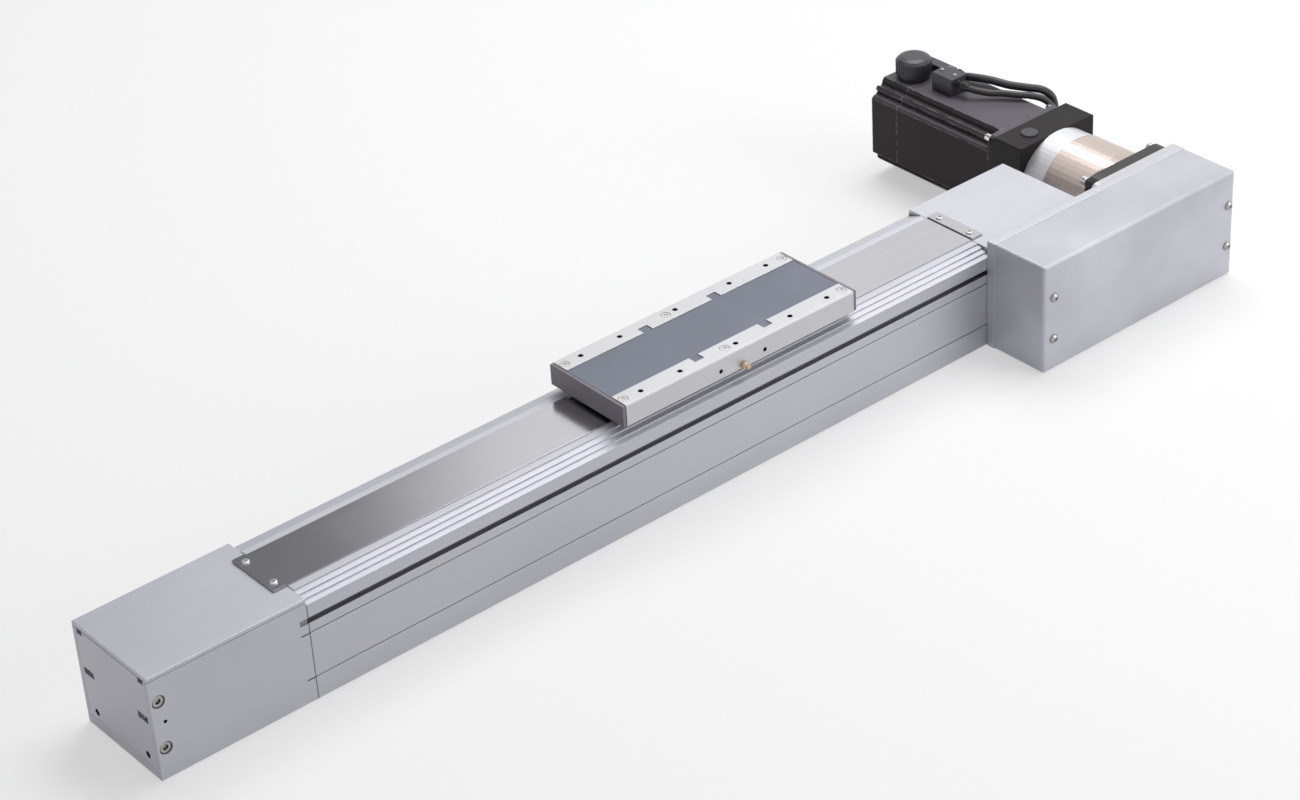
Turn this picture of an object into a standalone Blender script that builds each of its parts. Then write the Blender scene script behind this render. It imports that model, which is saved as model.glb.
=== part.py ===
"""Belt-driven linear stage with a belt reduction at its side, a planetary gearbox and a servo motor.

Every part of the real stage is an object of its own, in metres. +X runs towards the drive end, +Z is up, and
the origin lies on the underside of the profile, halfway along the stage.
"""

import math

import bmesh
import bpy
from mathutils import Matrix, Vector

# Fits
GAP = 0.0003  # between faces that touch on the real stage
RUNNING_GAP = 0.0003  # between a shaft and its bore
SCREW_GAP = 0.0003

# Stage body
STAGE_LENGTH = 1.066
STAGE_WIDTH = 0.110
STAGE_HEIGHT = 0.102
IDLER_HOUSING_LENGTH = 0.153
DRIVE_HOUSING_LENGTH = 0.128
EDGE_CHAMFER = 0.0010
PLATE_EDGE = 0.0008  # chamfer of the flat plates

# Profile section
CAVITY_WIDTH = 0.084
CAVITY_CEILING = 0.096
OPENING_WIDTH = 0.048
SHELF_TOP = 0.046
SHELF_THICKNESS = 0.008
DUCT_WIDTH = 0.050
DUCT_FLOOR = 0.012
SLOT_HEIGHT = 0.080
SLOT_MOUTH = 0.0056
SLOT_LIP = 0.0025
SLOT_WIDTH = 0.0100
SLOT_DEPTH = 0.0075
FINE_GROOVES = (0.023, 0.0677)
FINE_GROOVE_WIDTH = 0.0016
FINE_GROOVE_DEPTH = 0.0012
SHOULDER_HEIGHT = 0.0955
SHOULDER_WIDTH = 0.0170
SHOULDER_STEPS = 3
RIDGE_HEIGHT = 0.0008

# Housings at the two ends
LID_THICKNESS = 0.0037
HOUSING_FLOOR = 0.010
END_PLATE_THICKNESS = 0.016
END_PLATE_WIDTH = 0.100
END_SCREW_SPACING = 0.046
END_SCREW_HEIGHT = 0.053
END_SCREW_COUNTERBORE = 0.0124
END_SCREW_RECESS = 0.0010
END_SCREW_HEAD = 0.0100
END_SCREW_SHANK = 0.0060
END_SCREW_LENGTH = 0.020
CORNER_HOLE_HEIGHT = 0.018
CORNER_HOLE_SPACING = 0.076
CORNER_HOLE = 0.0068
CORNER_HOLE_DEPTH = 0.010
CORNER_NOTCH_WIDTH = 0.0080
CORNER_NOTCH_HEIGHT = 0.0045
CORNER_NOTCH_DEPTH = 0.0060
CORNER_NOTCH_SPACING = 0.090
PIN_HOLE = 0.0036  # beside the end screws
PIN_HOLE_DEPTH = 0.0040
PIN_HOLE_HEIGHT = 0.055
PIN_HOLE_SETBACK = 0.0112
GROOVE_RUNOUT = 0.0080  # of the profile's grooves into each housing

# Toothed belts
BELT_PITCH = 0.010
BELT_FACE = 0.0008  # from the pitch line in to the face between teeth
BELT_BACK = 0.0012  # from the pitch line out to the back
TOOTH_HEIGHT = 0.0025
TOOTH_ROOT = 0.0053
TOOTH_TIP = 0.0035
MESH_GAP = 0.0004
FLANGE_THICKNESS = 0.0020
FLANGE_RISE = 0.0040  # of a pulley's flange above the pitch line

# Main belt drive
SHAFT_HEIGHT = 0.057
MAIN_TEETH = 18
MAIN_BELT_WIDTH = 0.040
IDLER_SETBACK = 0.080  # of the idler axle from the idler end face, before the belt's length is rounded
DRIVE_SETBACK = 0.066  # of the drive shaft from the drive end face
AXLE_DIAMETER = 0.015
IDLER_BEARING_DIAMETER = 0.032
IDLER_BEARING_WIDTH = 0.009
SHAFT_DIAMETER = 0.025
DRIVE_BEARING_DIAMETER = 0.047
DRIVE_BEARING_WIDTH = 0.010
BEARING_POCKET_WALL = 0.0022

# Belt tensioner
YOKE_HEIGHT = 0.042
YOKE_BASE_SETBACK = 0.056  # from the idler axle
YOKE_BASE_THICKNESS = 0.014
YOKE_ARM_THICKNESS = 0.0145
YOKE_NOSE = 0.016  # of the arms past the axle
TENSION_TRAVEL = 0.004  # of the yoke towards the end plate
TENSION_SCREW_SPACING = 0.076
TENSION_SCREW_HEAD = 0.0060
TENSION_SCREW_HEAD_HEIGHT = 0.004
TENSION_SCREW_SHANK = 0.004
TENSION_RECESS_WIDTH = 0.0150
TENSION_RECESS_HEIGHT = 0.0066
TENSION_RECESS_SPACING = 0.080
TENSION_RECESS_DEPTH = 0.006

# Guide
RAIL_WIDTH = 0.020
RAIL_HEIGHT = 0.0175
RAIL_WAIST = 0.0164
RAIL_MARGIN = 0.006  # from each housing
BLOCK_WIDTH = 0.044
BLOCK_HEIGHT = 0.030
BLOCK_FLOOR_GAP = 0.0045
BLOCK_LENGTH = 0.080
BLOCK_INSET = 0.057  # of each block's middle from the carriage's end
RAIL_CLEARANCE = 0.0004

# Cover strip
STRIP_WIDTH = 0.060
STRIP_THICKNESS = 0.0006
STRIP_OVERLAP = 0.0135  # onto each housing's lid
STRIP_CLAMP_THICKNESS = 0.0009
STRIP_LIFT = 0.0090
STRIP_RAMP = 0.040
STRIP_RAMP_STEPS = 12

# Carriage
CARRIAGE_LENGTH = 0.276
CARRIAGE_WIDTH = 0.101
CARRIAGE_CENTRE = 0.099
CARRIAGE_BOTTOM = 0.1067
CARRIAGE_TOP = 0.128
CARRIAGE_RAIL_WIDTH = 0.020
CARRIAGE_NECK_WIDTH = 0.040
CARRIAGE_CORE_WIDTH = 0.072
CARRIAGE_CORE_TOP = 0.0945
CARRIAGE_EDGE = 0.0012
END_CAP_THICKNESS = 0.0035
CAP_STEP = 0.0006  # the end caps stand this much below the rails
TOP_PLATE_THICKNESS = 0.0052
TOP_PLATE_STEP = 0.0008
TAB_SPACING = 0.081
TAB_WIDTH = 0.0100
TAB_DEPTH = 0.0085
BELT_CLAMP_LENGTH = 0.120
BELT_CLAMP_THICKNESS = 0.002
TABLE_HOLE_SPACING = 0.082  # across the carriage
TABLE_HOLE = 0.0052
TABLE_HOLE_DEPTH = 0.011
TABLE_HOLE_INSETS = (0.028, 0.073)  # from each end of the carriage
DOWEL_SPACING = 0.080
DOWEL = 0.0095
DOWEL_DEPTH = 0.003
DOWEL_INSET = 0.009
MIDDLE_DOWEL = -0.012  # from the carriage's middle
SIDE_HOLES = (-0.026, 0.026)
SIDE_HOLE = 0.0045
SIDE_HOLE_HEIGHT = 0.1142
NIPPLE_HEIGHT = 0.1105
NIPPLE_BORE = 0.0062

# Belt reduction and its case
BASE_PLATE_THICKNESS = 0.0102
CASE_IDLER_MARGIN = 0.068  # from the drive shaft to the case's end
CASE_MOTOR_MARGIN = 0.054  # from the gearbox's axis to the case's other end
CASE_DEPTH = 0.0636
CASE_HEIGHT = 0.114
CASE_WALL = 0.0025
CASE_EDGE = 0.0030
REDUCTION_TEETH = 24
REDUCTION_BELT_WIDTH = 0.029
REDUCTION_PULLEY_CLEARANCE = 0.0125  # from the base plate
PULLEY_HUB = 0.044
COVER_SCREW_IDLER_INSET = 0.013
COVER_SCREW_MOTOR_INSET = 0.008
COVER_SCREW_RISE = 0.0445
COVER_SCREW_HEIGHT = 0.0560
COVER_SCREW_HEAD = 0.0088
COVER_SCREW_HEAD_HEIGHT = 0.0028
COVER_SCREW_SHANK = 0.0050
COVER_SCREW_LENGTH = 0.012
POST_DIAMETER = 0.010
SHAFT_END = 0.004  # of a shaft past its outer pulley
SHAFT_HOLE_CLEARANCE = 0.004
OUTPUT_HOLE_CLEARANCE = 0.006

# Gearbox
GEARBOX_CLEARANCE = 0.013  # between its fixing plate and the drive end face
GEARBOX_PLATE_WIDTH = 0.122
GEARBOX_PLATE_HEIGHT = 0.111
GEARBOX_PLATE_THICKNESS = 0.0063
GEARBOX_PLATE_CORNER = 0.008
OUTPUT_FLANGE_SIZE = 0.110
OUTPUT_FLANGE_CORNER = 0.014
OUTPUT_FLANGE_THICKNESS = 0.0130
OUTPUT_NECK_DIAMETER = 0.1094
OUTPUT_NECK_LENGTH = 0.0095
OUTPUT_JOURNAL = 0.040
OUTPUT_JOURNAL_LENGTH = 0.026
OUTPUT_SHAFT = 0.025
RING_DIAMETER = 0.1088
RING_LENGTH = 0.0520
INPUT_RING_DIAMETER = 0.1066
INPUT_RING_LENGTH = 0.0260
ADAPTER_SIZE = 0.104
ADAPTER_LENGTH = 0.0362
ADAPTER_BORE = 0.066
ADAPTER_EDGE = 0.0020
PLUG_DIAMETER = 0.014
PLUG_OFFSET = -0.0205
PLUG_RISE = 0.0015
PLUG_BURIED = 0.0060
PLUG_LIP = 0.0020
PLUG_LIP_CHAMFER = 0.0008

# Motor
MOTOR_SIZE = 0.098
MOTOR_FLANGE_LENGTH = 0.0105
MOTOR_FLANGE_CORNER = 0.008
MOTOR_BODY_LENGTH = 0.1300
MOTOR_REAR_LENGTH = 0.0360
MOTOR_FLAT = 0.062
MOTOR_RIB = 0.0030
MOTOR_SHAFT = 0.022
MOTOR_HUB = 0.048
MOTOR_HUB_LENGTH = 0.026
MOTOR_SHAFT_BURIED = 0.018
CAP_DIAMETER = 0.0365
CAP_HEIGHT = 0.0235

# Connectors on the motor, placed from the gearbox's axis and the motor's front
CAP_PLACE = (-0.0085, 0.1565)
POWER_CONNECTOR_SIZE = (0.0125, 0.0400, 0.0080)
POWER_CONNECTOR_PLACE = (0.0178, 0.1455)
ENCODER_CONNECTOR_SIZE = (0.0215, 0.0280, 0.0195)
ENCODER_CONNECTOR_PLACE = (-0.0060, 0.1085)
CONNECTOR_EDGE = 0.0012
LEAD_SLEEVE_WALL = 0.0003
LEAD_SLEEVE_LENGTH = 0.0025

# Motor leads, whose points are chosen by eye and placed like the connectors
POWER_LEAD_DIAMETER = 0.0084
ENCODER_LEAD_DIAMETER = 0.0070
LEAD_STEP = 0.014
POWER_LEAD_ROUTE = (
    (0.0178, 0.1220, 0.1112),
    (0.0178, 0.1125, 0.1112),
    (0.0205, 0.1030, 0.1128),
    (0.0279, 0.0835, 0.1135),
    (0.0350, 0.0625, 0.1125),
    (0.0446, 0.0435, 0.1125),
    (0.0505, 0.0335, 0.1120),
    (0.0560, 0.0260, 0.1065),
    (0.0590, 0.0235, 0.0960),
    (0.0605, 0.0235, 0.0800),
    (0.0610, 0.0245, 0.0620),
    (0.0615, 0.0260, 0.0440),
    (0.0640, 0.0300, 0.0240),
    (0.0690, 0.0390, 0.0110),
    (0.0740, 0.0560, 0.0052),
    (0.0790, 0.0790, 0.0046),
    (0.0790, 0.1045, 0.0046),
    (0.0770, 0.1285, 0.0050),
    (0.0770, 0.1465, 0.0075),
    (0.0770, 0.1605, 0.0075),
)
ENCODER_LEAD_ROUTE = (
    (-0.0060, 0.0905, 0.1180),
    (-0.0060, 0.0810, 0.1180),
    (-0.0010, 0.0745, 0.1155),
    (0.0080, 0.0645, 0.1130),
    (0.0175, 0.0545, 0.1125),
    (0.0260, 0.0430, 0.1118),
    (0.0350, 0.0330, 0.1110),
    (0.0440, 0.0240, 0.1070),
    (0.0500, 0.0170, 0.0985),
    (0.0530, 0.0140, 0.0870),
    (0.0545, 0.0130, 0.0700),
    (0.0560, 0.0135, 0.0500),
    (0.0600, 0.0145, 0.0300),
    (0.0670, 0.0195, 0.0130),
    (0.0790, 0.0325, 0.0052),
    (0.0920, 0.0555, 0.0040),
    (0.0980, 0.0825, 0.0040),
    (0.0990, 0.1095, 0.0042),
    (0.0980, 0.1265, 0.0065),
    (0.0980, 0.1405, 0.0065),
)
POWER_PLUG_SIZE = (0.0170, 0.0260, 0.0150)
ENCODER_PLUG_SIZE = (0.0150, 0.0240, 0.0130)
PLUG_EDGE = 0.0012

# Derived places along the stage
HALF_WIDTH = STAGE_WIDTH / 2
IDLER_FACE = -STAGE_LENGTH / 2
DRIVE_FACE = STAGE_LENGTH / 2
IDLER_SEAM = IDLER_FACE + IDLER_HOUSING_LENGTH
DRIVE_SEAM = DRIVE_FACE - DRIVE_HOUSING_LENGTH
HOUSING_TOP = STAGE_HEIGHT - LID_THICKNESS - GAP
END_PLATE_TOP = HOUSING_TOP - GAP
MAIN_RADIUS = MAIN_TEETH * BELT_PITCH / (2 * math.pi)
MAIN_SPAN = BELT_PITCH * round((STAGE_LENGTH - IDLER_SETBACK - DRIVE_SETBACK) / BELT_PITCH)
DRIVE_X = DRIVE_FACE - DRIVE_SETBACK
IDLER_X = DRIVE_X - MAIN_SPAN
REDUCTION_RADIUS = REDUCTION_TEETH * BELT_PITCH / (2 * math.pi)
GEARBOX_SETBACK = DRIVE_SETBACK + GEARBOX_CLEARANCE + GEARBOX_PLATE_WIDTH / 2
REDUCTION_SPAN = BELT_PITCH * round(GEARBOX_SETBACK / BELT_PITCH)
GEARBOX_X = DRIVE_X + REDUCTION_SPAN
CASE_START = DRIVE_X - CASE_IDLER_MARGIN
CASE_END = GEARBOX_X + CASE_MOTOR_MARGIN
UPPER_RUN = SHAFT_HEIGHT + MAIN_RADIUS

# Derived places across the stage
CASE_BACK = -HALF_WIDTH - GAP - BASE_PLATE_THICKNESS
CASE_FRONT = CASE_BACK - GAP - CASE_DEPTH
REDUCTION_Y = CASE_BACK - REDUCTION_PULLEY_CLEARANCE - FLANGE_THICKNESS - REDUCTION_BELT_WIDTH / 2
REDUCTION_HALF = REDUCTION_BELT_WIDTH / 2 + GAP
PLATE_BACK = -HALF_WIDTH
PLATE_FRONT = PLATE_BACK + GEARBOX_PLATE_THICKNESS
FLANGE_START = PLATE_FRONT + GAP
NECK_END = FLANGE_START + OUTPUT_FLANGE_THICKNESS + OUTPUT_NECK_LENGTH
RING_START = NECK_END + GAP
RING_END = RING_START + RING_LENGTH
INPUT_START = RING_END + GAP
INPUT_END = INPUT_START + INPUT_RING_LENGTH
ADAPTER_START = INPUT_END + GAP
ADAPTER_END = ADAPTER_START + ADAPTER_LENGTH
MOTOR_START = ADAPTER_END + GAP
MOTOR_BODY_START = MOTOR_START + MOTOR_FLANGE_LENGTH + GAP
MOTOR_REAR_START = MOTOR_BODY_START + MOTOR_BODY_LENGTH + GAP
MOTOR_END = MOTOR_REAR_START + MOTOR_REAR_LENGTH
MOTOR_TOP = SHAFT_HEIGHT + MOTOR_SIZE / 2

# Derived heights in the carriage
STRIP_BOTTOM = STAGE_HEIGHT + GAP
BLOCK_TOP = SHELF_TOP + GAP + BLOCK_HEIGHT
CORE_BOTTOM = BLOCK_TOP + GAP
BELT_TIPS = UPPER_RUN - BELT_FACE - TOOTH_HEIGHT
BELT_TOP = UPPER_RUN + BELT_BACK
CLAMP_BOTTOM = BELT_TOP + GAP
CHANNEL_TOP = CLAMP_BOTTOM + BELT_CLAMP_THICKNESS + GAP
CHANNEL_BOTTOM = BELT_TIPS - GAP
BODY_LENGTH = CARRIAGE_LENGTH - 2 * (END_CAP_THICKNESS + GAP)
BLOCK_SPACING = CARRIAGE_LENGTH - 2 * BLOCK_INSET
CAP_TOP = CARRIAGE_TOP - CAP_STEP
TUNNEL_HALF = CARRIAGE_WIDTH / 2 - CARRIAGE_RAIL_WIDTH
TOP_PLATE_TOP = CARRIAGE_TOP - TOP_PLATE_STEP
TOP_PLATE_BOTTOM = TOP_PLATE_TOP - TOP_PLATE_THICKNESS

# Turns a flat outline's plane so that its normal is the axis named
FACING = {
    "X": Matrix(((0, 0, 1), (1, 0, 0), (0, 1, 0))),
    "Y": Matrix(((1, 0, 0), (0, 0, -1), (0, 1, 0))),
    "Z": Matrix.Identity(3),
}

# Colour, roughness and metallic value of each finish
FINISHES = {
    "anodised": ((0.53, 0.53, 0.58), 0.42, 0.60),
    "anodised_bright": ((0.70, 0.70, 0.73), 0.35, 0.70),
    "painted": ((0.50, 0.49, 0.54), 0.50, 0.10),
    "brushed_steel": ((0.55, 0.53, 0.55), 0.28, 1.00),
    "bearing_steel": ((0.60, 0.60, 0.62), 0.25, 1.00),
    "screw_steel": ((0.48, 0.47, 0.48), 0.30, 1.00),
    "dark_plastic": ((0.075, 0.070, 0.085), 0.55, 0.00),
    "slate": ((0.22, 0.23, 0.27), 0.45, 0.20),
    "black_metal": ((0.035, 0.032, 0.034), 0.45, 0.30),
    "rubber": ((0.020, 0.020, 0.020), 0.70, 0.00),
    "brass": ((0.60, 0.40, 0.18), 0.30, 1.00),
}

parts = None
cutters = None
materials = {}


def clear_scene():
    for obj in list(bpy.data.objects):
        bpy.data.objects.remove(obj, do_unlink=True)


def make_collections():
    global parts, cutters
    parts = bpy.data.collections.new("linear_stage")
    cutters = bpy.data.collections.new("cutters")
    for collection in (parts, cutters):
        bpy.context.scene.collection.children.link(collection)


def finish(name):
    """One Principled material for each finish."""
    if name not in materials:
        colour, roughness, metallic = FINISHES[name]
        material = bpy.data.materials.new(name)
        material.use_nodes = True
        shader = material.node_tree.nodes["Principled BSDF"]
        shader.inputs["Base Color"].default_value = (*colour, 1)
        shader.inputs["Roughness"].default_value = roughness
        shader.inputs["Metallic"].default_value = metallic
        material.diffuse_color = (*colour, 1)
        materials[name] = material
    return materials[name]


def add_object(name, mesh, place, coat, smooth=False):
    """Links a mesh as a part, or as a cutter where it has no coat."""
    obj = bpy.data.objects.new(name, mesh)
    obj.location = place
    if coat:
        mesh.materials.clear()
        mesh.materials.append(finish(coat))
        parts.objects.link(obj)
    else:
        cutters.objects.link(obj)
        obj.hide_render = True
        obj.display_type = "WIRE"
    if smooth:
        mesh.shade_smooth()
        mesh.set_sharp_from_angle(angle=math.radians(35))
    return obj


def mesh_from(bm, name):
    mesh = bpy.data.meshes.new(name)
    bm.to_mesh(mesh)
    bm.free()
    return mesh


def box(name, low, high, coat=None, edge=0.0):
    """A block between two corners, with its edges bevelled."""
    low, high = Vector(low), Vector(high)
    bm = bmesh.new()
    bmesh.ops.create_cube(bm, size=1.0)
    bmesh.ops.scale(bm, vec=high - low, verts=bm.verts)
    if edge:
        bmesh.ops.bevel(
            bm, geom=bm.edges[:], offset=edge, segments=2, affect="EDGES", profile=0.5, clamp_overlap=True
        )
    return add_object(name, mesh_from(bm, name), (low + high) / 2, coat)


def rod(name, centre, axis, length, diameter, coat=None, sides=32):
    """A round bar about an axis, with its middle at the centre."""
    bm = bmesh.new()
    bmesh.ops.create_cone(
        bm, cap_ends=True, segments=sides, radius1=diameter / 2, radius2=diameter / 2, depth=length
    )
    bmesh.ops.transform(bm, matrix=FACING[axis].to_4x4(), verts=bm.verts)
    return add_object(name, mesh_from(bm, name), centre, coat, smooth=True)


def turned(name, place, axis, profile, coat=None, sides=32):
    """Turns a profile of (radius, height) points, listed from the top down, about an axis."""
    mesh = bpy.data.meshes.new(name)
    bm = bmesh.new()
    corners = [bm.verts.new((radius, 0, height)) for radius, height in profile]
    for first, second in zip(corners, corners[1:]):
        bm.edges.new((first, second))
    bm.to_mesh(mesh)
    bm.free()
    obj = add_object(name, mesh, place, coat)
    obj.rotation_euler = FACING[axis].to_euler()
    screw = obj.modifiers.new("Turn", "SCREW")
    screw.axis = "Z"
    screw.steps = sides
    screw.render_steps = sides
    screw.use_merge_vertices = True
    screw.merge_threshold = 0.00001
    screw.use_smooth_shade = False
    return obj


def prism(name, outlines, axis, start, end, coat=None, smooth=False):
    """Extrudes flat outlines, the first outside and the others holes, along an axis from start to end."""
    curve = bpy.data.curves.new(name, "CURVE")
    curve.dimensions = "2D"
    curve.fill_mode = "BOTH"
    curve.extrude = abs(end - start) / 2
    for outline in outlines:
        spline = curve.splines.new("POLY")
        spline.points.add(len(outline) - 1)
        for point, (across, up) in zip(spline.points, outline):
            point.co = (across, up, 0, 1)
        spline.use_cyclic_u = True
    drawn = bpy.data.objects.new(name + "_outline", curve)
    bpy.context.scene.collection.objects.link(drawn)
    graph = bpy.context.evaluated_depsgraph_get()
    mesh = bpy.data.meshes.new_from_object(drawn.evaluated_get(graph))
    mesh.name = name
    bm = bmesh.new()
    bm.from_mesh(mesh)
    bmesh.ops.remove_doubles(bm, verts=bm.verts, dist=0.000001)
    bmesh.ops.transform(bm, matrix=FACING[axis].to_4x4(), verts=bm.verts)
    bmesh.ops.recalc_face_normals(bm, faces=bm.faces)
    bm.to_mesh(mesh)
    bm.free()
    bpy.data.objects.remove(drawn)
    bpy.data.curves.remove(curve)
    middle = (start + end) / 2
    place = {"X": (middle, 0, 0), "Y": (0, middle, 0), "Z": (0, 0, middle)}[axis]
    return add_object(name, mesh, place, coat, smooth)


def combine(obj, others, operation):
    for other in others:
        modifier = obj.modifiers.new(operation.title() + " " + other.name, "BOOLEAN")
        modifier.operation = operation
        modifier.solver = "EXACT"
        modifier.object = other
    return obj


def cut(obj, *others):
    return combine(obj, others, "DIFFERENCE")


def join(obj, *others):
    return combine(obj, others, "UNION")


def arc(centre, radius, start, end, steps):
    """Points of an arc, with its angles in degrees."""
    angles = [math.radians(start + (end - start) * step / steps) for step in range(steps + 1)]
    return [(centre[0] + radius * math.cos(a), centre[1] + radius * math.sin(a)) for a in angles]


def rounded_square(width, height, corner, centre=(0.0, 0.0), steps=4):
    """Outline of a rectangle with round corners."""
    points = []
    for quarter, (side, rise) in enumerate(((1, 1), (-1, 1), (-1, -1), (1, -1))):
        middle = (centre[0] + side * (width / 2 - corner), centre[1] + rise * (height / 2 - corner))
        points += arc(middle, corner, 90 * quarter, 90 * quarter + 90, steps)
    return points


def mirrored(half):
    """A closed outline from its half at positive values."""
    return half + [(-across, up) for across, up in reversed(half)]


def moving_frame(name, place):
    """An empty on a joint's axis."""
    empty = bpy.data.objects.new(name, None)
    empty.location = place
    empty.empty_display_size = 0.02
    parts.objects.link(empty)
    return empty


def carry(empty, *objects):
    """Parents objects to an empty and leaves them where they are."""
    for obj in objects:
        obj.parent = empty
        obj.matrix_parent_inverse = Matrix.Translation(-empty.location)


def shoulder():
    """The ridges that step up from the outer wall to the flat beside the strip."""
    step_width = SHOULDER_WIDTH / SHOULDER_STEPS
    step_rise = (STAGE_HEIGHT - SHOULDER_HEIGHT) / SHOULDER_STEPS
    points = [(HALF_WIDTH, SHOULDER_HEIGHT)]
    for step in range(SHOULDER_STEPS):
        inner = HALF_WIDTH - (step + 1) * step_width
        level = SHOULDER_HEIGHT + step * step_rise + RIDGE_HEIGHT
        points.append((inner, level))
        points.append((inner, SHOULDER_HEIGHT + (step + 1) * step_rise))
    return points


def side_wall():
    """The outer side of the profile from the bottom up, with two fine grooves and the mounting slot."""
    points = [(HALF_WIDTH - EDGE_CHAMFER, 0), (HALF_WIDTH, EDGE_CHAMFER)]
    for height in FINE_GROOVES:
        points.append((HALF_WIDTH, height - FINE_GROOVE_WIDTH / 2))
        points.append((HALF_WIDTH - FINE_GROOVE_DEPTH, height))
        points.append((HALF_WIDTH, height + FINE_GROOVE_WIDTH / 2))
    mouth, lip, floor = HALF_WIDTH, HALF_WIDTH - SLOT_LIP, HALF_WIDTH - SLOT_DEPTH
    low, high = SLOT_HEIGHT - SLOT_MOUTH / 2, SLOT_HEIGHT + SLOT_MOUTH / 2
    bottom, top = SLOT_HEIGHT - SLOT_WIDTH / 2, SLOT_HEIGHT + SLOT_WIDTH / 2
    points += [(mouth, low), (lip, low), (lip, bottom), (floor, bottom)]
    points += [(floor, top), (lip, top), (lip, high), (mouth, high)]
    return points


def make_profile():
    cavity = CAVITY_WIDTH / 2
    inside = [
        (OPENING_WIDTH / 2, STAGE_HEIGHT),
        (OPENING_WIDTH / 2, CAVITY_CEILING),
        (cavity, CAVITY_CEILING),
        (cavity, SHELF_TOP),
    ]
    outline = mirrored(side_wall() + shoulder() + inside)
    duct_height = SHELF_TOP - SHELF_THICKNESS - DUCT_FLOOR
    duct = rounded_square(DUCT_WIDTH, duct_height, 0.003, (0, DUCT_FLOOR + duct_height / 2), 2)
    prism("base_extrusion", [outline, duct], "X", IDLER_SEAM + GAP, DRIVE_SEAM - GAP, "anodised")


def rail_half(widen=0.0):
    """Half of the rail's section above the shelf, widened for the slot in a guide block."""
    head, waist = RAIL_WIDTH / 2 + widen, RAIL_WAIST / 2 + widen
    base = SHELF_TOP + GAP
    heights = (0.35, 0.47, 0.63, 0.77)
    levels = [base + share * RAIL_HEIGHT for share in heights]
    return [(head, levels[0]), (waist, levels[1]), (waist, levels[2]), (head, levels[3])]


def make_guide():
    base = SHELF_TOP + GAP
    head = RAIL_WIDTH / 2
    top = base + RAIL_HEIGHT
    half = [(head, base)] + rail_half() + [(head, top)]
    rail_start, rail_end = IDLER_SEAM + RAIL_MARGIN, DRIVE_SEAM - RAIL_MARGIN
    prism("guide_rail", [mirrored(half)], "X", rail_start, rail_end, "bearing_steel")
    for name, end in (("guide_block_idler", -1), ("guide_block_drive", 1)):
        start = CARRIAGE_CENTRE + end * BLOCK_SPACING / 2 - BLOCK_LENGTH / 2
        foot = base + BLOCK_FLOOR_GAP
        inner = head + RAIL_CLEARANCE
        side = BLOCK_WIDTH / 2
        outer = [(side - EDGE_CHAMFER, BLOCK_TOP), (side, BLOCK_TOP - EDGE_CHAMFER)]
        outer += [(side, foot), (inner, foot)]
        outer += rail_half(RAIL_CLEARANCE)
        outer += [(inner, top + RAIL_CLEARANCE)]
        prism(name, [mirrored(outer)], "X", start, start + BLOCK_LENGTH, "bearing_steel")


def housing_section():
    """A channel that is open at the top and carries on the profile's outer walls."""
    cavity = CAVITY_WIDTH / 2
    half = [
        (HALF_WIDTH - EDGE_CHAMFER, 0),
        (HALF_WIDTH, EDGE_CHAMFER),
        (HALF_WIDTH, HOUSING_TOP),
        (cavity, HOUSING_TOP),
        (cavity, HOUSING_FLOOR),
    ]
    return mirrored(half)


def end_screw_places(face, inward):
    """Places of the four screws that hold an end plate, two through each side wall."""
    along = face + inward * END_PLATE_THICKNESS / 2
    half = END_SCREW_SPACING / 2
    return [(along, side, END_SCREW_HEIGHT + rise * half) for side in (-1, 1) for rise in (-1, 1)]


def cut_runouts(name, housing, seam, inward):
    """Shallow ends of the profile's side grooves, which run on into a housing's outer walls."""
    grooves = [(SLOT_HEIGHT, SLOT_MOUTH)] + [(height, FINE_GROOVE_WIDTH) for height in FINE_GROOVES]
    low_x, high_x = sorted((seam - inward * GROOVE_RUNOUT, seam + inward * GAP))
    for side in (-1, 1):
        low_y, high_y = sorted((side * (HALF_WIDTH - FINE_GROOVE_DEPTH), side * (HALF_WIDTH + GAP)))
        for index, (height, width) in enumerate(grooves):
            low = (low_x, low_y, height - width / 2)
            high = (high_x, high_y, height + width / 2)
            cut(housing, box(f"{name}_runout_{side}_{index}", low, high))


def end_housing(name, face, seam, inward):
    """A housing with the pocket for its end plate and the holes for the plate's screws."""
    housing = prism(name, [housing_section()], "X", min(face, seam), max(face, seam), "anodised")
    depth = END_PLATE_THICKNESS + GAP
    pocket_low = min(face - inward * GAP, face + inward * depth)
    pocket_high = max(face - inward * GAP, face + inward * depth)
    pocket = box(
        name + "_plate_pocket",
        (pocket_low, -END_PLATE_WIDTH / 2 - GAP, HOUSING_FLOOR),
        (pocket_high, END_PLATE_WIDTH / 2 + GAP, HOUSING_TOP + GAP),
    )
    cut(housing, pocket)
    for index, (along, side, height) in enumerate(end_screw_places(face, inward)):
        place = (along, side * HALF_WIDTH, height)
        wall = STAGE_WIDTH - END_PLATE_WIDTH
        cut(housing, rod(f"{name}_screw_hole_{index}", place, "Y", wall, END_SCREW_COUNTERBORE, sides=20))
    for side in (-1, 1):
        place = (face + inward * PIN_HOLE_SETBACK, side * HALF_WIDTH, PIN_HOLE_HEIGHT)
        cut(housing, rod(f"{name}_pin_hole_{side}", place, "Y", 2 * PIN_HOLE_DEPTH, PIN_HOLE, sides=12))
    cut_runouts(name, housing, seam, inward)
    return housing


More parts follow.
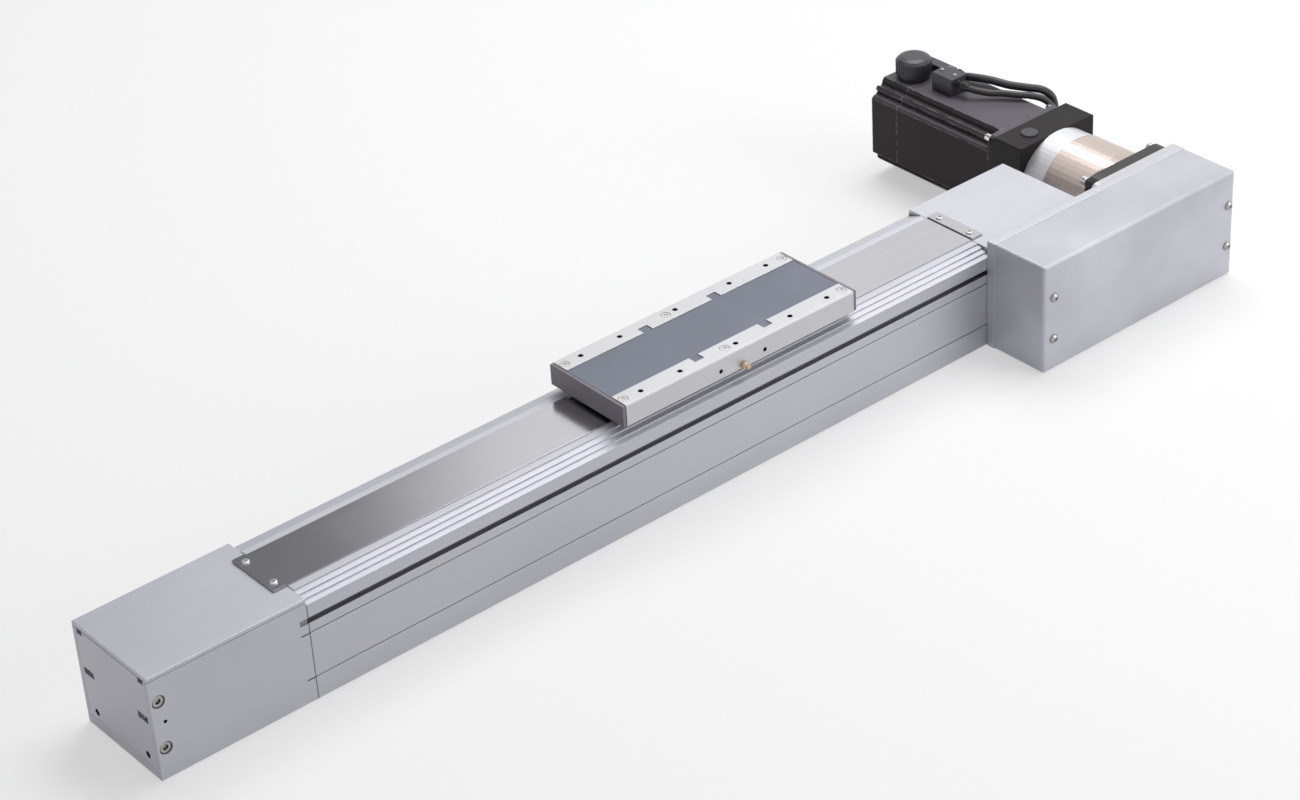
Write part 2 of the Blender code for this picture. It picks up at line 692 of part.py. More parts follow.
def end_plate(name, face, inward):
    """The plate between a housing's side walls, with blind holes for its screws."""
    low, high = sorted((face, face + inward * END_PLATE_THICKNESS))
    half = END_PLATE_WIDTH / 2
    plate = box(name, (low, -half, HOUSING_FLOOR + GAP), (high, half, END_PLATE_TOP), "anodised")
    for index, (along, side, height) in enumerate(end_screw_places(face, inward)):
        depth = END_SCREW_LENGTH + SCREW_GAP
        middle = side * (END_PLATE_WIDTH / 2 - depth / 2 + GAP)
        hole = rod(
            f"{name}_screw_hole_{index}",
            (along, middle, height),
            "Y",
            depth + 2 * GAP,
            END_SCREW_SHANK + 2 * SCREW_GAP,
            sides=16,
        )
        cut(plate, hole)
    for side in (-1, 1):
        hole = rod(
            f"{name}_corner_hole_{side}",
            (face, side * CORNER_HOLE_SPACING / 2, CORNER_HOLE_HEIGHT),
            "X",
            2 * CORNER_HOLE_DEPTH,
            CORNER_HOLE,
            sides=16,
        )
        low_x, high_x = sorted((face - inward * GAP, face + inward * CORNER_NOTCH_DEPTH))
        middle = side * CORNER_NOTCH_SPACING / 2
        low = (low_x, middle - CORNER_NOTCH_WIDTH / 2, END_PLATE_TOP - CORNER_NOTCH_HEIGHT)
        high = (high_x, middle + CORNER_NOTCH_WIDTH / 2, END_PLATE_TOP + GAP)
        cut(plate, hole, box(f"{name}_corner_notch_{side}", low, high))
    return plate


def make_lid(name, start, end):
    low = (start, -HALF_WIDTH, HOUSING_TOP + GAP)
    return box(name, low, (end, HALF_WIDTH, STAGE_HEIGHT), "anodised", EDGE_CHAMFER / 2)


def make_end_screws():
    """The two screws at the idler end that the viewer's side shows."""
    places = end_screw_places(IDLER_FACE, 1)
    head = HALF_WIDTH - END_PLATE_WIDTH / 2 - GAP - END_SCREW_RECESS
    for name, (along, side, height) in zip(("end_screw_lower", "end_screw_upper"), places):
        outer = side * (HALF_WIDTH - END_SCREW_RECESS)
        head_place = (along, outer - side * head / 2, height)
        screw = rod(name, head_place, "Y", head, END_SCREW_HEAD, "screw_steel", 20)
        length = END_SCREW_LENGTH + head / 2
        shank_place = (along, outer - side * (head / 2 + length / 2), height)
        join(screw, rod(name + "_shank", shank_place, "Y", length, END_SCREW_SHANK, sides=16))
        socket = rod(name + "_socket", (along, outer, height), "Y", head, END_SCREW_SHANK, sides=6)
        cut(screw, socket)


def make_housings():
    end_housing("idler_housing", IDLER_FACE, IDLER_SEAM, 1)
    make_lid("idler_top_cover", IDLER_FACE, IDLER_SEAM)
    plate = end_plate("idler_end_plate", IDLER_FACE, 1)
    for side in (-1, 1):
        place = Vector((IDLER_FACE, side * TENSION_RECESS_SPACING / 2, SHAFT_HEIGHT))
        half_size = Vector((TENSION_RECESS_DEPTH, TENSION_RECESS_WIDTH / 2, TENSION_RECESS_HEIGHT / 2))
        recess = box(f"tension_recess_{side}", place - half_size, place + half_size)
        bore = rod(
            f"tension_bore_{side}",
            (IDLER_FACE + END_PLATE_THICKNESS / 2, side * TENSION_SCREW_SPACING / 2, SHAFT_HEIGHT),
            "X",
            END_PLATE_THICKNESS + 2 * GAP,
            TENSION_SCREW_SHANK + 2 * SCREW_GAP,
            sides=16,
        )
        cut(plate, recess, bore)
    drive = end_housing("drive_housing", DRIVE_FACE, DRIVE_SEAM, -1)
    make_lid("drive_top_cover", DRIVE_SEAM, DRIVE_FACE)
    end_plate("drive_end_plate", DRIVE_FACE, -1)
    bore_diameter = DRIVE_BEARING_DIAMETER + 2 * GAP
    wall = HALF_WIDTH - CAVITY_WIDTH / 2
    near_place = (DRIVE_X, -HALF_WIDTH + wall / 2, SHAFT_HEIGHT)
    near = rod("drive_bore_near", near_place, "Y", wall + 4 * GAP, bore_diameter)
    pocket = wall - BEARING_POCKET_WALL
    far_place = (DRIVE_X, CAVITY_WIDTH / 2 + pocket / 2 - GAP, SHAFT_HEIGHT)
    cut(drive, near, rod("drive_bore_far", far_place, "Y", pocket + 2 * GAP, bore_diameter))
    make_end_screws()


def loop_point(travel, offset, span, radius):
    """A point at a distance along a belt's pitch line, moved out by an offset.

    The loop starts above the left pulley, and runs to the right, round and back.
    """
    half_turn = math.pi * radius
    reach = radius + offset
    travel %= 2 * (span + half_turn)
    if travel < span:
        return travel, reach
    if travel < span + half_turn:
        angle = math.pi / 2 - (travel - span) / radius
        return span + reach * math.cos(angle), reach * math.sin(angle)
    if travel < 2 * span + half_turn:
        return 2 * span + half_turn - travel, -reach
    angle = -math.pi / 2 - (travel - 2 * span - half_turn) / radius
    return reach * math.cos(angle), reach * math.sin(angle)


def toothed_belt(name, centre_x, span, teeth, width, middle_y):
    """A closed belt with a tooth at every pitch of its inner side, in mesh with both pulleys."""
    radius = teeth * BELT_PITCH / (2 * math.pi)
    count = round(2 * (span + math.pi * radius) / BELT_PITCH)
    root, tip = -BELT_FACE, -BELT_FACE - TOOTH_HEIGHT
    tooth_side = ((-TOOTH_ROOT / 2, root), (-TOOTH_TIP / 2, tip))
    tooth_points = tooth_side + tuple((-along, offset) for along, offset in reversed(tooth_side))
    inner = []
    for tooth in range(count):
        for along, offset in tooth_points:
            inner.append(loop_point(tooth * BELT_PITCH + along, offset, span, radius))
    reach = radius + BELT_BACK
    outer = arc((span, 0), reach, 90, -90, 2 * teeth) + arc((0, 0), reach, -90, -270, 2 * teeth)
    placed = [[(centre_x + x, SHAFT_HEIGHT + z) for x, z in outline] for outline in (outer, inner)]
    return prism(name, placed, "Y", middle_y - width / 2, middle_y + width / 2, "rubber")


def toothed_pulley(name, centre_x, teeth, width, middle_y, bore, coat, hub=0.0):
    """A pulley with a gap for each tooth of its belt and a flange at each end."""
    radius = teeth * BELT_PITCH / (2 * math.pi)
    outer = radius - BELT_FACE - RUNNING_GAP
    floor = radius - BELT_FACE - TOOTH_HEIGHT - MESH_GAP
    wide = (TOOTH_ROOT + 2 * MESH_GAP) / 2 / radius
    narrow = (TOOTH_TIP + 2 * MESH_GAP) / 2 / radius
    outline = []
    for tooth in range(teeth):
        middle = math.pi / 2 + 2 * math.pi * tooth / teeth
        for turn, reach in ((-wide, outer), (-narrow, floor), (narrow, floor), (wide, outer)):
            angle = middle + turn
            outline.append((centre_x + reach * math.cos(angle), SHAFT_HEIGHT + reach * math.sin(angle)))
    hole = arc((centre_x, SHAFT_HEIGHT), bore / 2, 0, 360, 32)[:-1]
    half = width / 2 + FLANGE_THICKNESS / 2
    pulley = prism(name, [outline, hole], "Y", middle_y - half, middle_y + half, coat)
    rim = radius + FLANGE_RISE
    for side in (-1, 1):
        disc_outline = arc((centre_x, SHAFT_HEIGHT), rim, 0, 360, 36)[:-1]
        inside = middle_y + side * width / 2
        outside = inside + side * FLANGE_THICKNESS
        join(pulley, prism(f"{name}_flange_{side}", [disc_outline, hole], "Y", inside, outside))
    if hub:
        ring = arc((centre_x, SHAFT_HEIGHT), hub / 2, 0, 360, 32)[:-1]
        start = middle_y + width / 2 + FLANGE_THICKNESS / 2
        end = CASE_BACK - 2 * GAP
        join(pulley, prism(name + "_hub", [ring, hole], "Y", start, end))
    return pulley


def ring_bearing(name, centre, width, outer, inner):
    """A closed ball bearing, with the step between its rings on both faces."""
    step = 0.0006
    middle_in, middle_out = inner * 0.5 + (outer - inner) * 0.12, outer * 0.5 - (outer - inner) * 0.12
    half = width / 2
    profile = [
        (inner / 2, half),
        (middle_in, half),
        (middle_in, half - step),
        (middle_out, half - step),
        (middle_out, half),
        (outer / 2, half),
        (outer / 2, -half),
        (middle_out, -half),
        (middle_out, -half + step),
        (middle_in, -half + step),
        (middle_in, -half),
        (inner / 2, -half),
        (inner / 2, half),
    ]
    return turned(name, centre, "Y", profile, "bearing_steel")


def make_idler():
    """The tensioner that slides in the idler housing, and the idler pulley on its axle."""
    tensioner = moving_frame("tensioner", (IDLER_X, 0, SHAFT_HEIGHT))
    idler = moving_frame("idler", (IDLER_X, 0, SHAFT_HEIGHT))
    idler.parent = tensioner
    idler.matrix_parent_inverse = Matrix.Translation(-tensioner.location)
    outer_y = CAVITY_WIDTH / 2 - GAP
    inner_y = outer_y - YOKE_ARM_THICKNESS
    base_start = IDLER_X - YOKE_BASE_SETBACK
    base_end = base_start + YOKE_BASE_THICKNESS
    nose = IDLER_X + YOKE_NOSE
    outline = [
        (base_start, -outer_y),
        (nose, -outer_y),
        (nose, -inner_y),
        (base_end, -inner_y),
        (base_end, inner_y),
        (nose, inner_y),
        (nose, outer_y),
        (base_start, outer_y),
    ]
    low, high = SHAFT_HEIGHT - YOKE_HEIGHT / 2, SHAFT_HEIGHT + YOKE_HEIGHT / 2
    yoke = prism("tension_yoke", [outline], "Z", low, high, "anodised")
    axle = (IDLER_X, 0, SHAFT_HEIGHT)
    cut(yoke, rod("axle_bore", axle, "Y", 2 * outer_y + 4 * GAP, AXLE_DIAMETER + 2 * RUNNING_GAP, sides=24))
    screws = []
    for name, side in (("tension_screw_near", -1), ("tension_screw_far", 1)):
        across = side * TENSION_SCREW_SPACING / 2
        thread_length = YOKE_BASE_THICKNESS + TENSION_TRAVEL + 2 * SCREW_GAP
        thread = rod(
            name + "_thread",
            (base_start + thread_length / 2 - GAP, across, SHAFT_HEIGHT),
            "X",
            thread_length + 2 * GAP,
            TENSION_SCREW_SHANK + 2 * SCREW_GAP,
            sides=16,
        )
        cut(yoke, thread)
        seat = IDLER_FACE + TENSION_RECESS_DEPTH
        head_end = seat - GAP
        head_start = head_end - TENSION_SCREW_HEAD_HEIGHT
        screw = rod(
            name,
            ((head_start + head_end) / 2, across, SHAFT_HEIGHT),
            "X",
            TENSION_SCREW_HEAD_HEIGHT,
            TENSION_SCREW_HEAD,
            "screw_steel",
            20,
        )
        shank_start = (head_start + head_end) / 2
        shank_end = base_end
        join(
            screw,
            rod(
                name + "_shank",
                ((shank_start + shank_end) / 2, across, SHAFT_HEIGHT),
                "X",
                shank_end - shank_start,
                TENSION_SCREW_SHANK,
                sides=16,
            ),
        )
        cut(
            screw,
            rod(
                name + "_socket",
                (head_start, across, SHAFT_HEIGHT),
                "X",
                TENSION_SCREW_HEAD_HEIGHT,
                TENSION_SCREW_HEAD / 2,
                sides=6,
            ),
        )
        screws.append(screw)
    carry(tensioner, yoke, rod("idler_axle", axle, "Y", 2 * outer_y, AXLE_DIAMETER, "bearing_steel", 24))
    bore = IDLER_BEARING_DIAMETER + 2 * GAP
    belt_room = MAIN_BELT_WIDTH + 2 * GAP
    pulley = toothed_pulley("idler_pulley", IDLER_X, MAIN_TEETH, belt_room, 0, bore, "anodised_bright")
    half = belt_room / 2 + FLANGE_THICKNESS
    for name, side in (("idler_bearing_near", -1), ("idler_bearing_far", 1)):
        centre = (IDLER_X, side * (half - IDLER_BEARING_WIDTH / 2), SHAFT_HEIGHT)
        inner = AXLE_DIAMETER + 2 * RUNNING_GAP
        carry(idler, ring_bearing(name, centre, IDLER_BEARING_WIDTH, IDLER_BEARING_DIAMETER, inner))
    carry(idler, pulley)


def make_drive():
    """The drive shaft, with the main pulley inside and the driven pulley in the case."""
    drive = moving_frame("drive_axis", (DRIVE_X, 0, SHAFT_HEIGHT))
    pocket_end = HALF_WIDTH - BEARING_POCKET_WALL
    start = REDUCTION_Y - REDUCTION_HALF - FLANGE_THICKNESS - SHAFT_END
    end = pocket_end - 2 * GAP
    shaft_place = (DRIVE_X, (start + end) / 2, SHAFT_HEIGHT)
    shaft = rod("drive_shaft", shaft_place, "Y", end - start, SHAFT_DIAMETER, "bearing_steel")
    bore = SHAFT_DIAMETER + 2 * GAP
    belt_room = MAIN_BELT_WIDTH + 2 * GAP
    pulley = toothed_pulley("drive_pulley", DRIVE_X, MAIN_TEETH, belt_room, 0, bore, "anodised_bright")
    driven = toothed_pulley(
        "driven_pulley",
        DRIVE_X,
        REDUCTION_TEETH,
        2 * REDUCTION_HALF,
        REDUCTION_Y,
        bore,
        "anodised_bright",
        PULLEY_HUB,
    )
    carry(drive, shaft, pulley, driven)
    near_y = -HALF_WIDTH + DRIVE_BEARING_WIDTH / 2
    far_y = pocket_end - GAP - DRIVE_BEARING_WIDTH / 2
    for name, middle in (("drive_bearing_near", near_y), ("drive_bearing_far", far_y)):
        centre = (DRIVE_X, middle, SHAFT_HEIGHT)
        ring_bearing(name, centre, DRIVE_BEARING_WIDTH, DRIVE_BEARING_DIAMETER, bore)
    toothed_belt("main_belt", IDLER_X, MAIN_SPAN, MAIN_TEETH, MAIN_BELT_WIDTH, 0)


def ramp_height(share):
    """Lift of the strip at a share of its ramp, from level to level."""
    return STRIP_LIFT * (1 - math.cos(math.pi * share)) / 2


def strip_line(drop=0.0):
    """The strip's underside over the carriage from one end cap to the other, lowered by a drop."""
    start = CARRIAGE_CENTRE - BODY_LENGTH / 2
    rising = []
    for step in range(STRIP_RAMP_STEPS + 1):
        share = step / STRIP_RAMP_STEPS
        rising.append((start + share * STRIP_RAMP, STRIP_BOTTOM + ramp_height(share) - drop))
    falling = [(2 * CARRIAGE_CENTRE - along, height) for along, height in reversed(rising)]
    return rising + falling


def make_strip():
    start, end = IDLER_SEAM - STRIP_OVERLAP, DRIVE_SEAM + STRIP_OVERLAP
    under = [(start, STRIP_BOTTOM)] + strip_line() + [(end, STRIP_BOTTOM)]
    over = [(along, height + STRIP_THICKNESS) for along, height in reversed(under)]
    prism("steel_strip", [under + over], "Y", -STRIP_WIDTH / 2, STRIP_WIDTH / 2, "brushed_steel")
    bottom = STRIP_BOTTOM + STRIP_THICKNESS + GAP
    clamps = (("strip_clamp_idler", start, IDLER_SEAM), ("strip_clamp_drive", DRIVE_SEAM, end))
    for name, low, high in clamps:
        box(
            name,
            (low, -STRIP_WIDTH / 2, bottom),
            (high, STRIP_WIDTH / 2, bottom + STRIP_CLAMP_THICKNESS),
            "brushed_steel",
        )


def carriage_section():
    """The carriage's section before its tunnel: the core inside the profile, the neck and the table."""
    outer, core, neck = CARRIAGE_WIDTH / 2, CARRIAGE_CORE_WIDTH / 2, CARRIAGE_NECK_WIDTH / 2
    half = [
        (core, CORE_BOTTOM),
        (core, CARRIAGE_CORE_TOP),
        (neck, CARRIAGE_CORE_TOP),
        (neck, CARRIAGE_BOTTOM),
        (outer, CARRIAGE_BOTTOM),
        (outer, CARRIAGE_TOP - CARRIAGE_EDGE),
        (outer - CARRIAGE_EDGE, CARRIAGE_TOP),
    ]
    return mirrored(half)


def carriage_holes(body):
    """Threaded holes and dowel bores along both rails, and the holes in the near side."""
    half = CARRIAGE_LENGTH / 2
    holes = [0] + [end * (half - inset) for end in (-1, 1) for inset in TABLE_HOLE_INSETS]
    dowels = [MIDDLE_DOWEL] + [end * (half - DOWEL_INSET) for end in (-1, 1)]
    depth = 2 * TABLE_HOLE_DEPTH
    for side in (-1, 1):
        for index, place in enumerate(holes):
            centre = (CARRIAGE_CENTRE + place, side * TABLE_HOLE_SPACING / 2, CARRIAGE_TOP)
            cut(body, rod(f"table_hole_{side}_{index}", centre, "Z", depth, TABLE_HOLE, sides=12))
        for index, place in enumerate(dowels):
            centre = (CARRIAGE_CENTRE + place, side * DOWEL_SPACING / 2, CARRIAGE_TOP)
            cut(body, rod(f"dowel_bore_{side}_{index}", centre, "Z", 2 * DOWEL_DEPTH, DOWEL, sides=16))
    near = -CARRIAGE_WIDTH / 2
    for index, place in enumerate(SIDE_HOLES):
        centre = (CARRIAGE_CENTRE + place, near, SIDE_HOLE_HEIGHT)
        cut(body, rod(f"side_hole_{index}", centre, "Y", depth, SIDE_HOLE, sides=12))
    nipple_place = (CARRIAGE_CENTRE, near, NIPPLE_HEIGHT)
    cut(body, rod("nipple_bore", nipple_place, "Y", depth, NIPPLE_BORE + 2 * SCREW_GAP, sides=16))


def tab_box(name, spread, side, bottom, top, gap, coat=None):
    """A fixing tab of the top plate, or with a gap the pocket for it in a rail."""
    middle = CARRIAGE_CENTRE + spread * TAB_SPACING / 2
    inner = TUNNEL_HALF - TAB_DEPTH / 2
    outer = TUNNEL_HALF + TAB_DEPTH + gap
    low_y, high_y = sorted((side * inner, side * outer))
    half = TAB_WIDTH / 2 + gap
    return box(name, (middle - half, low_y, bottom), (middle + half, high_y, top), coat)


def make_carriage():
    carriage = moving_frame("carriage", (CARRIAGE_CENTRE, 0, STAGE_HEIGHT))
    start, end = CARRIAGE_CENTRE - BODY_LENGTH / 2, CARRIAGE_CENTRE + BODY_LENGTH / 2
    body = prism("carriage_body", [carriage_section()], "X", start, end, "anodised_bright")
    ceiling = CARRIAGE_TOP + GAP
    floor = STRIP_BOTTOM - 2 * GAP
    ramp_outline = [(start - GAP, floor)] + strip_line(2 * GAP) + [(end + GAP, floor)]
    ramp_outline += [(end + GAP, ceiling), (start - GAP, ceiling)]
    cut(body, prism("strip_tunnel", [ramp_outline], "Y", -TUNNEL_HALF, TUNNEL_HALF))
    channel = box(
        "belt_channel",
        (start - GAP, -MAIN_BELT_WIDTH / 2 - 2 * GAP, CHANNEL_BOTTOM),
        (end + GAP, MAIN_BELT_WIDTH / 2 + 2 * GAP, CHANNEL_TOP),
    )
    cut(body, channel)
    carriage_holes(body)
    half_plate = TUNNEL_HALF - GAP
    low, high = (start, -half_plate, TOP_PLATE_BOTTOM), (end, half_plate, TOP_PLATE_TOP)
    plate = box("carriage_top_plate", low, high, "slate")
    for spread in (-1, 1):
        for side in (-1, 1):
            name = f"tab_{spread}_{side}"
            cut(body, tab_box(name + "_pocket", spread, side, TOP_PLATE_BOTTOM - GAP, ceiling, GAP))
            join(plate, tab_box(name, spread, side, TOP_PLATE_BOTTOM, TOP_PLATE_TOP, 0))
    caps = []
    for name, low in (("end_cap_idler", start - GAP - END_CAP_THICKNESS), ("end_cap_drive", end + GAP)):
        cap_low = (low, -CARRIAGE_WIDTH / 2 + CAP_STEP, CARRIAGE_BOTTOM)
        cap_high = (low + END_CAP_THICKNESS, CARRIAGE_WIDTH / 2 - CAP_STEP, CAP_TOP)
        caps.append(box(name, cap_low, cap_high, "dark_plastic", CAP_STEP))
    clamp = box(
        "belt_clamp",
        (CARRIAGE_CENTRE - BELT_CLAMP_LENGTH / 2, -MAIN_BELT_WIDTH / 2, CLAMP_BOTTOM),
        (CARRIAGE_CENTRE + BELT_CLAMP_LENGTH / 2, MAIN_BELT_WIDTH / 2, CHANNEL_TOP - GAP),
        "bearing_steel",
    )
    nipple = make_nipple()
    blocks = [bpy.data.objects[name] for name in ("guide_block_idler", "guide_block_drive")]
    carry(carriage, body, plate, clamp, nipple, *caps, *blocks)


def make_nipple():
    """A hexagonal grease nipple with a round head, screwed into the near side."""
    near = -CARRIAGE_WIDTH / 2
    profile = [
        (0, 0.0088),
        (0.0014, 0.0088),
        (0.0026, 0.0074),
        (0.0026, 0.0062),
        (0.0016, 0.0052),
        (0.0022, 0.0042),
        (0.0036, 0.0036),
        (0.0036, 0.0003),
        (NIPPLE_BORE / 2, 0.0003),
        (NIPPLE_BORE / 2, -0.0080),
        (0, -0.0080),
    ]
    return turned("grease_nipple", (CARRIAGE_CENTRE, near, NIPPLE_HEIGHT), "Y", profile, "brass", 16)


def cover_screw_places():
    """Places of the four screws on the case's front, as (along, height)."""
    half = COVER_SCREW_RISE / 2
    ends = (CASE_START + COVER_SCREW_IDLER_INSET, CASE_END - COVER_SCREW_MOTOR_INSET)
    return [(along, COVER_SCREW_HEIGHT + rise * half) for along in ends for rise in (-1, 1)]


def make_case():
    """The base plate on the drive housing, with four posts, and the cover screwed to them."""
    plate_back = -HALF_WIDTH - GAP
    low, high = (CASE_START, CASE_BACK, 0), (CASE_END, plate_back, CASE_HEIGHT)
    plate = box("drive_base_plate", low, high, "anodised", PLATE_EDGE)
    through = 2 * BASE_PLATE_THICKNESS
    middle = (CASE_BACK + plate_back) / 2
    holes = (
        ("shaft_hole", DRIVE_X, SHAFT_DIAMETER + SHAFT_HOLE_CLEARANCE),
        ("output_hole", GEARBOX_X, OUTPUT_JOURNAL + OUTPUT_HOLE_CLEARANCE),
    )
    for name, along, diameter in holes:
        cut(plate, rod(name, (along, middle, SHAFT_HEIGHT), "Y", through, diameter))
    post_end = CASE_FRONT + CASE_WALL + GAP
    post_start = CASE_BACK + BASE_PLATE_THICKNESS / 2
    post_middle = (post_end + post_start) / 2
    depth = COVER_SCREW_LENGTH + SCREW_GAP
    thread_middle = post_end + depth / 2 - GAP
    bore = COVER_SCREW_SHANK + 2 * SCREW_GAP
    cover = make_cover()
    for index, (along, height) in enumerate(cover_screw_places(), 1):
        post_place = (along, post_middle, height)
        post = rod(f"cover_post_{index}", post_place, "Y", post_start - post_end, POST_DIAMETER, sides=16)
        join(plate, post)
        thread_place = (along, thread_middle, height)
        cut(plate, rod(f"cover_thread_{index}", thread_place, "Y", depth + 2 * GAP, bore, sides=12))
        hole_place = (along, CASE_FRONT + CASE_WALL / 2, height)
        cut(cover, rod(f"cover_hole_{index}", hole_place, "Y", 2 * CASE_WALL, bore, sides=12))
        make_cover_screw(index, along, height)


def make_cover():
    """A thin shell, open towards the base plate, with its outer edges rounded."""
    low = Vector((CASE_START, CASE_FRONT, 0))
    high = Vector((CASE_END, CASE_BACK - GAP, CASE_HEIGHT))
    bm = bmesh.new()
    bmesh.ops.create_cube(bm, size=1.0)
    bmesh.ops.scale(bm, vec=high - low, verts=bm.verts)
    rim = max(vert.co.y for vert in bm.verts)
    outer_edges = [edge for edge in bm.edges if not all(vert.co.y > rim - GAP for vert in edge.verts)]
    bmesh.ops.bevel(bm, geom=outer_edges, offset=CASE_EDGE, segments=3, affect="EDGES", profile=0.5)
    open_side = [face for face in bm.faces if all(vert.co.y > rim - GAP for vert in face.verts)]
    bmesh.ops.delete(bm, geom=open_side, context="FACES")
    cover = add_object("drive_cover", mesh_from(bm, "drive_cover"), (low + high) / 2, "painted")
    shell = cover.modifiers.new("Wall", "SOLIDIFY")
    shell.thickness = CASE_WALL
    shell.offset = -1
    shell.use_even_offset = True
    return cover


def make_cover_screw(index, along, height):
    """A button head screw through the cover into its post."""
    radius = COVER_SCREW_HEAD / 2
    rise = COVER_SCREW_HEAD_HEIGHT
    profile = [
        (0, GAP + rise),
        (radius * 0.55, GAP + rise),
        (radius * 0.85, GAP + rise * 0.72),
        (radius, GAP + rise * 0.25),
        (radius, GAP),
        (COVER_SCREW_SHANK / 2, GAP),
        (COVER_SCREW_SHANK / 2, -COVER_SCREW_LENGTH),
        (0, -COVER_SCREW_LENGTH),
    ]
    screw = turned(f"cover_screw_{index}", (along, CASE_FRONT, height), "Y", profile, "screw_steel", 20)
    socket_place = (along, CASE_FRONT - GAP - rise, height)
    cut(screw, rod(f"cover_screw_socket_{index}", socket_place, "Y", rise, COVER_SCREW_HEAD * 0.42, sides=6))


def make_reduction():
    """The gearbox's output shaft with the motor pulley, and the belt to the drive shaft."""
    output = moving_frame("output_axis", (GEARBOX_X, 0, SHAFT_HEIGHT))
    journal_end = FLANGE_START + OUTPUT_JOURNAL_LENGTH / 2
    journal_start = journal_end - OUTPUT_JOURNAL_LENGTH
    start = REDUCTION_Y - REDUCTION_HALF - FLANGE_THICKNESS - SHAFT_END
    shaft = rod(
        "gearbox_output_shaft",
        (GEARBOX_X, (start + journal_end) / 2, SHAFT_HEIGHT),
        "Y",
        journal_end - start,
        OUTPUT_SHAFT,
        "bearing_steel",
    )
    journal = rod(
        "output_journal",
        (GEARBOX_X, (journal_start + journal_end) / 2, SHAFT_HEIGHT),
        "Y",
        OUTPUT_JOURNAL_LENGTH,
        OUTPUT_JOURNAL,
    )
    join(shaft, journal)
    pulley = toothed_pulley(
        "motor_pulley",
        GEARBOX_X,
        REDUCTION_TEETH,
        2 * REDUCTION_HALF,
        REDUCTION_Y,
        OUTPUT_SHAFT + 2 * GAP,
        "anodised_bright",
    )
    carry(output, shaft, pulley)
    width = REDUCTION_BELT_WIDTH
    toothed_belt("reduction_belt", DRIVE_X, REDUCTION_SPAN, REDUCTION_TEETH, width, REDUCTION_Y)


def square_block(name, size, corner, start, end, coat=None):
    outline = rounded_square(size, size, corner, (GEARBOX_X, SHAFT_HEIGHT))
    return prism(name, [outline], "Y", start, end, coat, smooth=True)


def gearbox_rod(name, start, end, diameter, coat=None, sides=48):
    return rod(name, (GEARBOX_X, (start + end) / 2, SHAFT_HEIGHT), "Y", end - start, diameter, coat, sides)


def make_gearbox():
    """The planetary gearbox: its fixing plate, output flange, ring gear body and input ring."""
    centre = (GEARBOX_X, SHAFT_HEIGHT)
    outline = rounded_square(GEARBOX_PLATE_WIDTH, GEARBOX_PLATE_HEIGHT, GEARBOX_PLATE_CORNER, centre)
    plate = prism("gearbox_plate", [outline], "Y", PLATE_BACK, PLATE_FRONT, "anodised_bright", smooth=True)
    journal_bore = OUTPUT_JOURNAL + 2 * RUNNING_GAP
    cut(plate, gearbox_rod("plate_bore", PLATE_BACK - GAP, PLATE_FRONT + GAP, journal_bore))
    flange_end = FLANGE_START + OUTPUT_FLANGE_THICKNESS
    flange = square_block(
        "gearbox_flange", OUTPUT_FLANGE_SIZE, OUTPUT_FLANGE_CORNER, FLANGE_START, flange_end, "black_metal"
    )
    neck_start = FLANGE_START + OUTPUT_FLANGE_THICKNESS / 2
    join(flange, gearbox_rod("gearbox_neck", neck_start, NECK_END, OUTPUT_NECK_DIAMETER, sides=64))
    bore_end = FLANGE_START + OUTPUT_JOURNAL_LENGTH / 2 + GAP
    cut(flange, gearbox_rod("flange_bore", FLANGE_START - GAP, bore_end, journal_bore))
    gearbox_rod("gearbox_ring_gear", RING_START, RING_END, RING_DIAMETER, "brushed_steel", 64)
    ring = gearbox_rod(
        "gearbox_input_ring", INPUT_START, INPUT_END, INPUT_RING_DIAMETER, "anodised_bright", 64
    )
    shaft_bore = MOTOR_SHAFT + 2 * RUNNING_GAP
    bore_start = INPUT_END - MOTOR_SHAFT_BURIED
    cut(ring, gearbox_rod("input_bore", bore_start, INPUT_END + GAP, shaft_bore, sides=24))
    make_adapter()


def make_adapter():
    """The square adapter around the motor's clamp hub, with a plug in its access hole."""
    adapter = square_block(
        "motor_adapter", ADAPTER_SIZE, ADAPTER_EDGE, ADAPTER_START, ADAPTER_END, "black_metal"
    )
    cut(adapter, gearbox_rod("adapter_bore", ADAPTER_START - GAP, ADAPTER_END + GAP, ADAPTER_BORE))
    top = SHAFT_HEIGHT + ADAPTER_SIZE / 2
    along, middle = GEARBOX_X + PLUG_OFFSET, (ADAPTER_START + ADAPTER_END) / 2
    depth = ADAPTER_SIZE / 4
    access_place = (along, middle, top - depth / 2)
    cut(adapter, rod("access_hole", access_place, "Z", depth + 4 * GAP, PLUG_DIAMETER + 2 * GAP, sides=20))
    radius = PLUG_DIAMETER / 2
    lip = radius + PLUG_LIP
    profile = [
        (0, PLUG_RISE),
        (lip - PLUG_LIP_CHAMFER, PLUG_RISE),
        (lip, PLUG_RISE - PLUG_LIP_CHAMFER),
        (lip, GAP),
        (radius, GAP),
        (radius, -PLUG_BURIED),
        (0, -PLUG_BURIED),
    ]
    turned("adapter_plug", (along, middle, top), "Z", profile, "dark_plastic", 20)


def motor_corner():
    """A quarter of the motor's section: a flat, then a stepped corner with a thin rib on its diagonal."""
    half = MOTOR_SIZE / 2
    flat = MOTOR_FLAT / 2
    depth = half - flat
    rib = MOTOR_RIB / 2
    first = [
        (half, flat),
        (half - 0.15 * depth, flat + 0.13 * depth),
        (half - 0.38 * depth, flat + 0.20 * depth),
        (half - 0.48 * depth, flat + 0.42 * depth - rib),
        (half - 0.34 * depth, flat + 0.56 * depth - rib),
    ]
    return first + [(up, across) for across, up in reversed(first)]


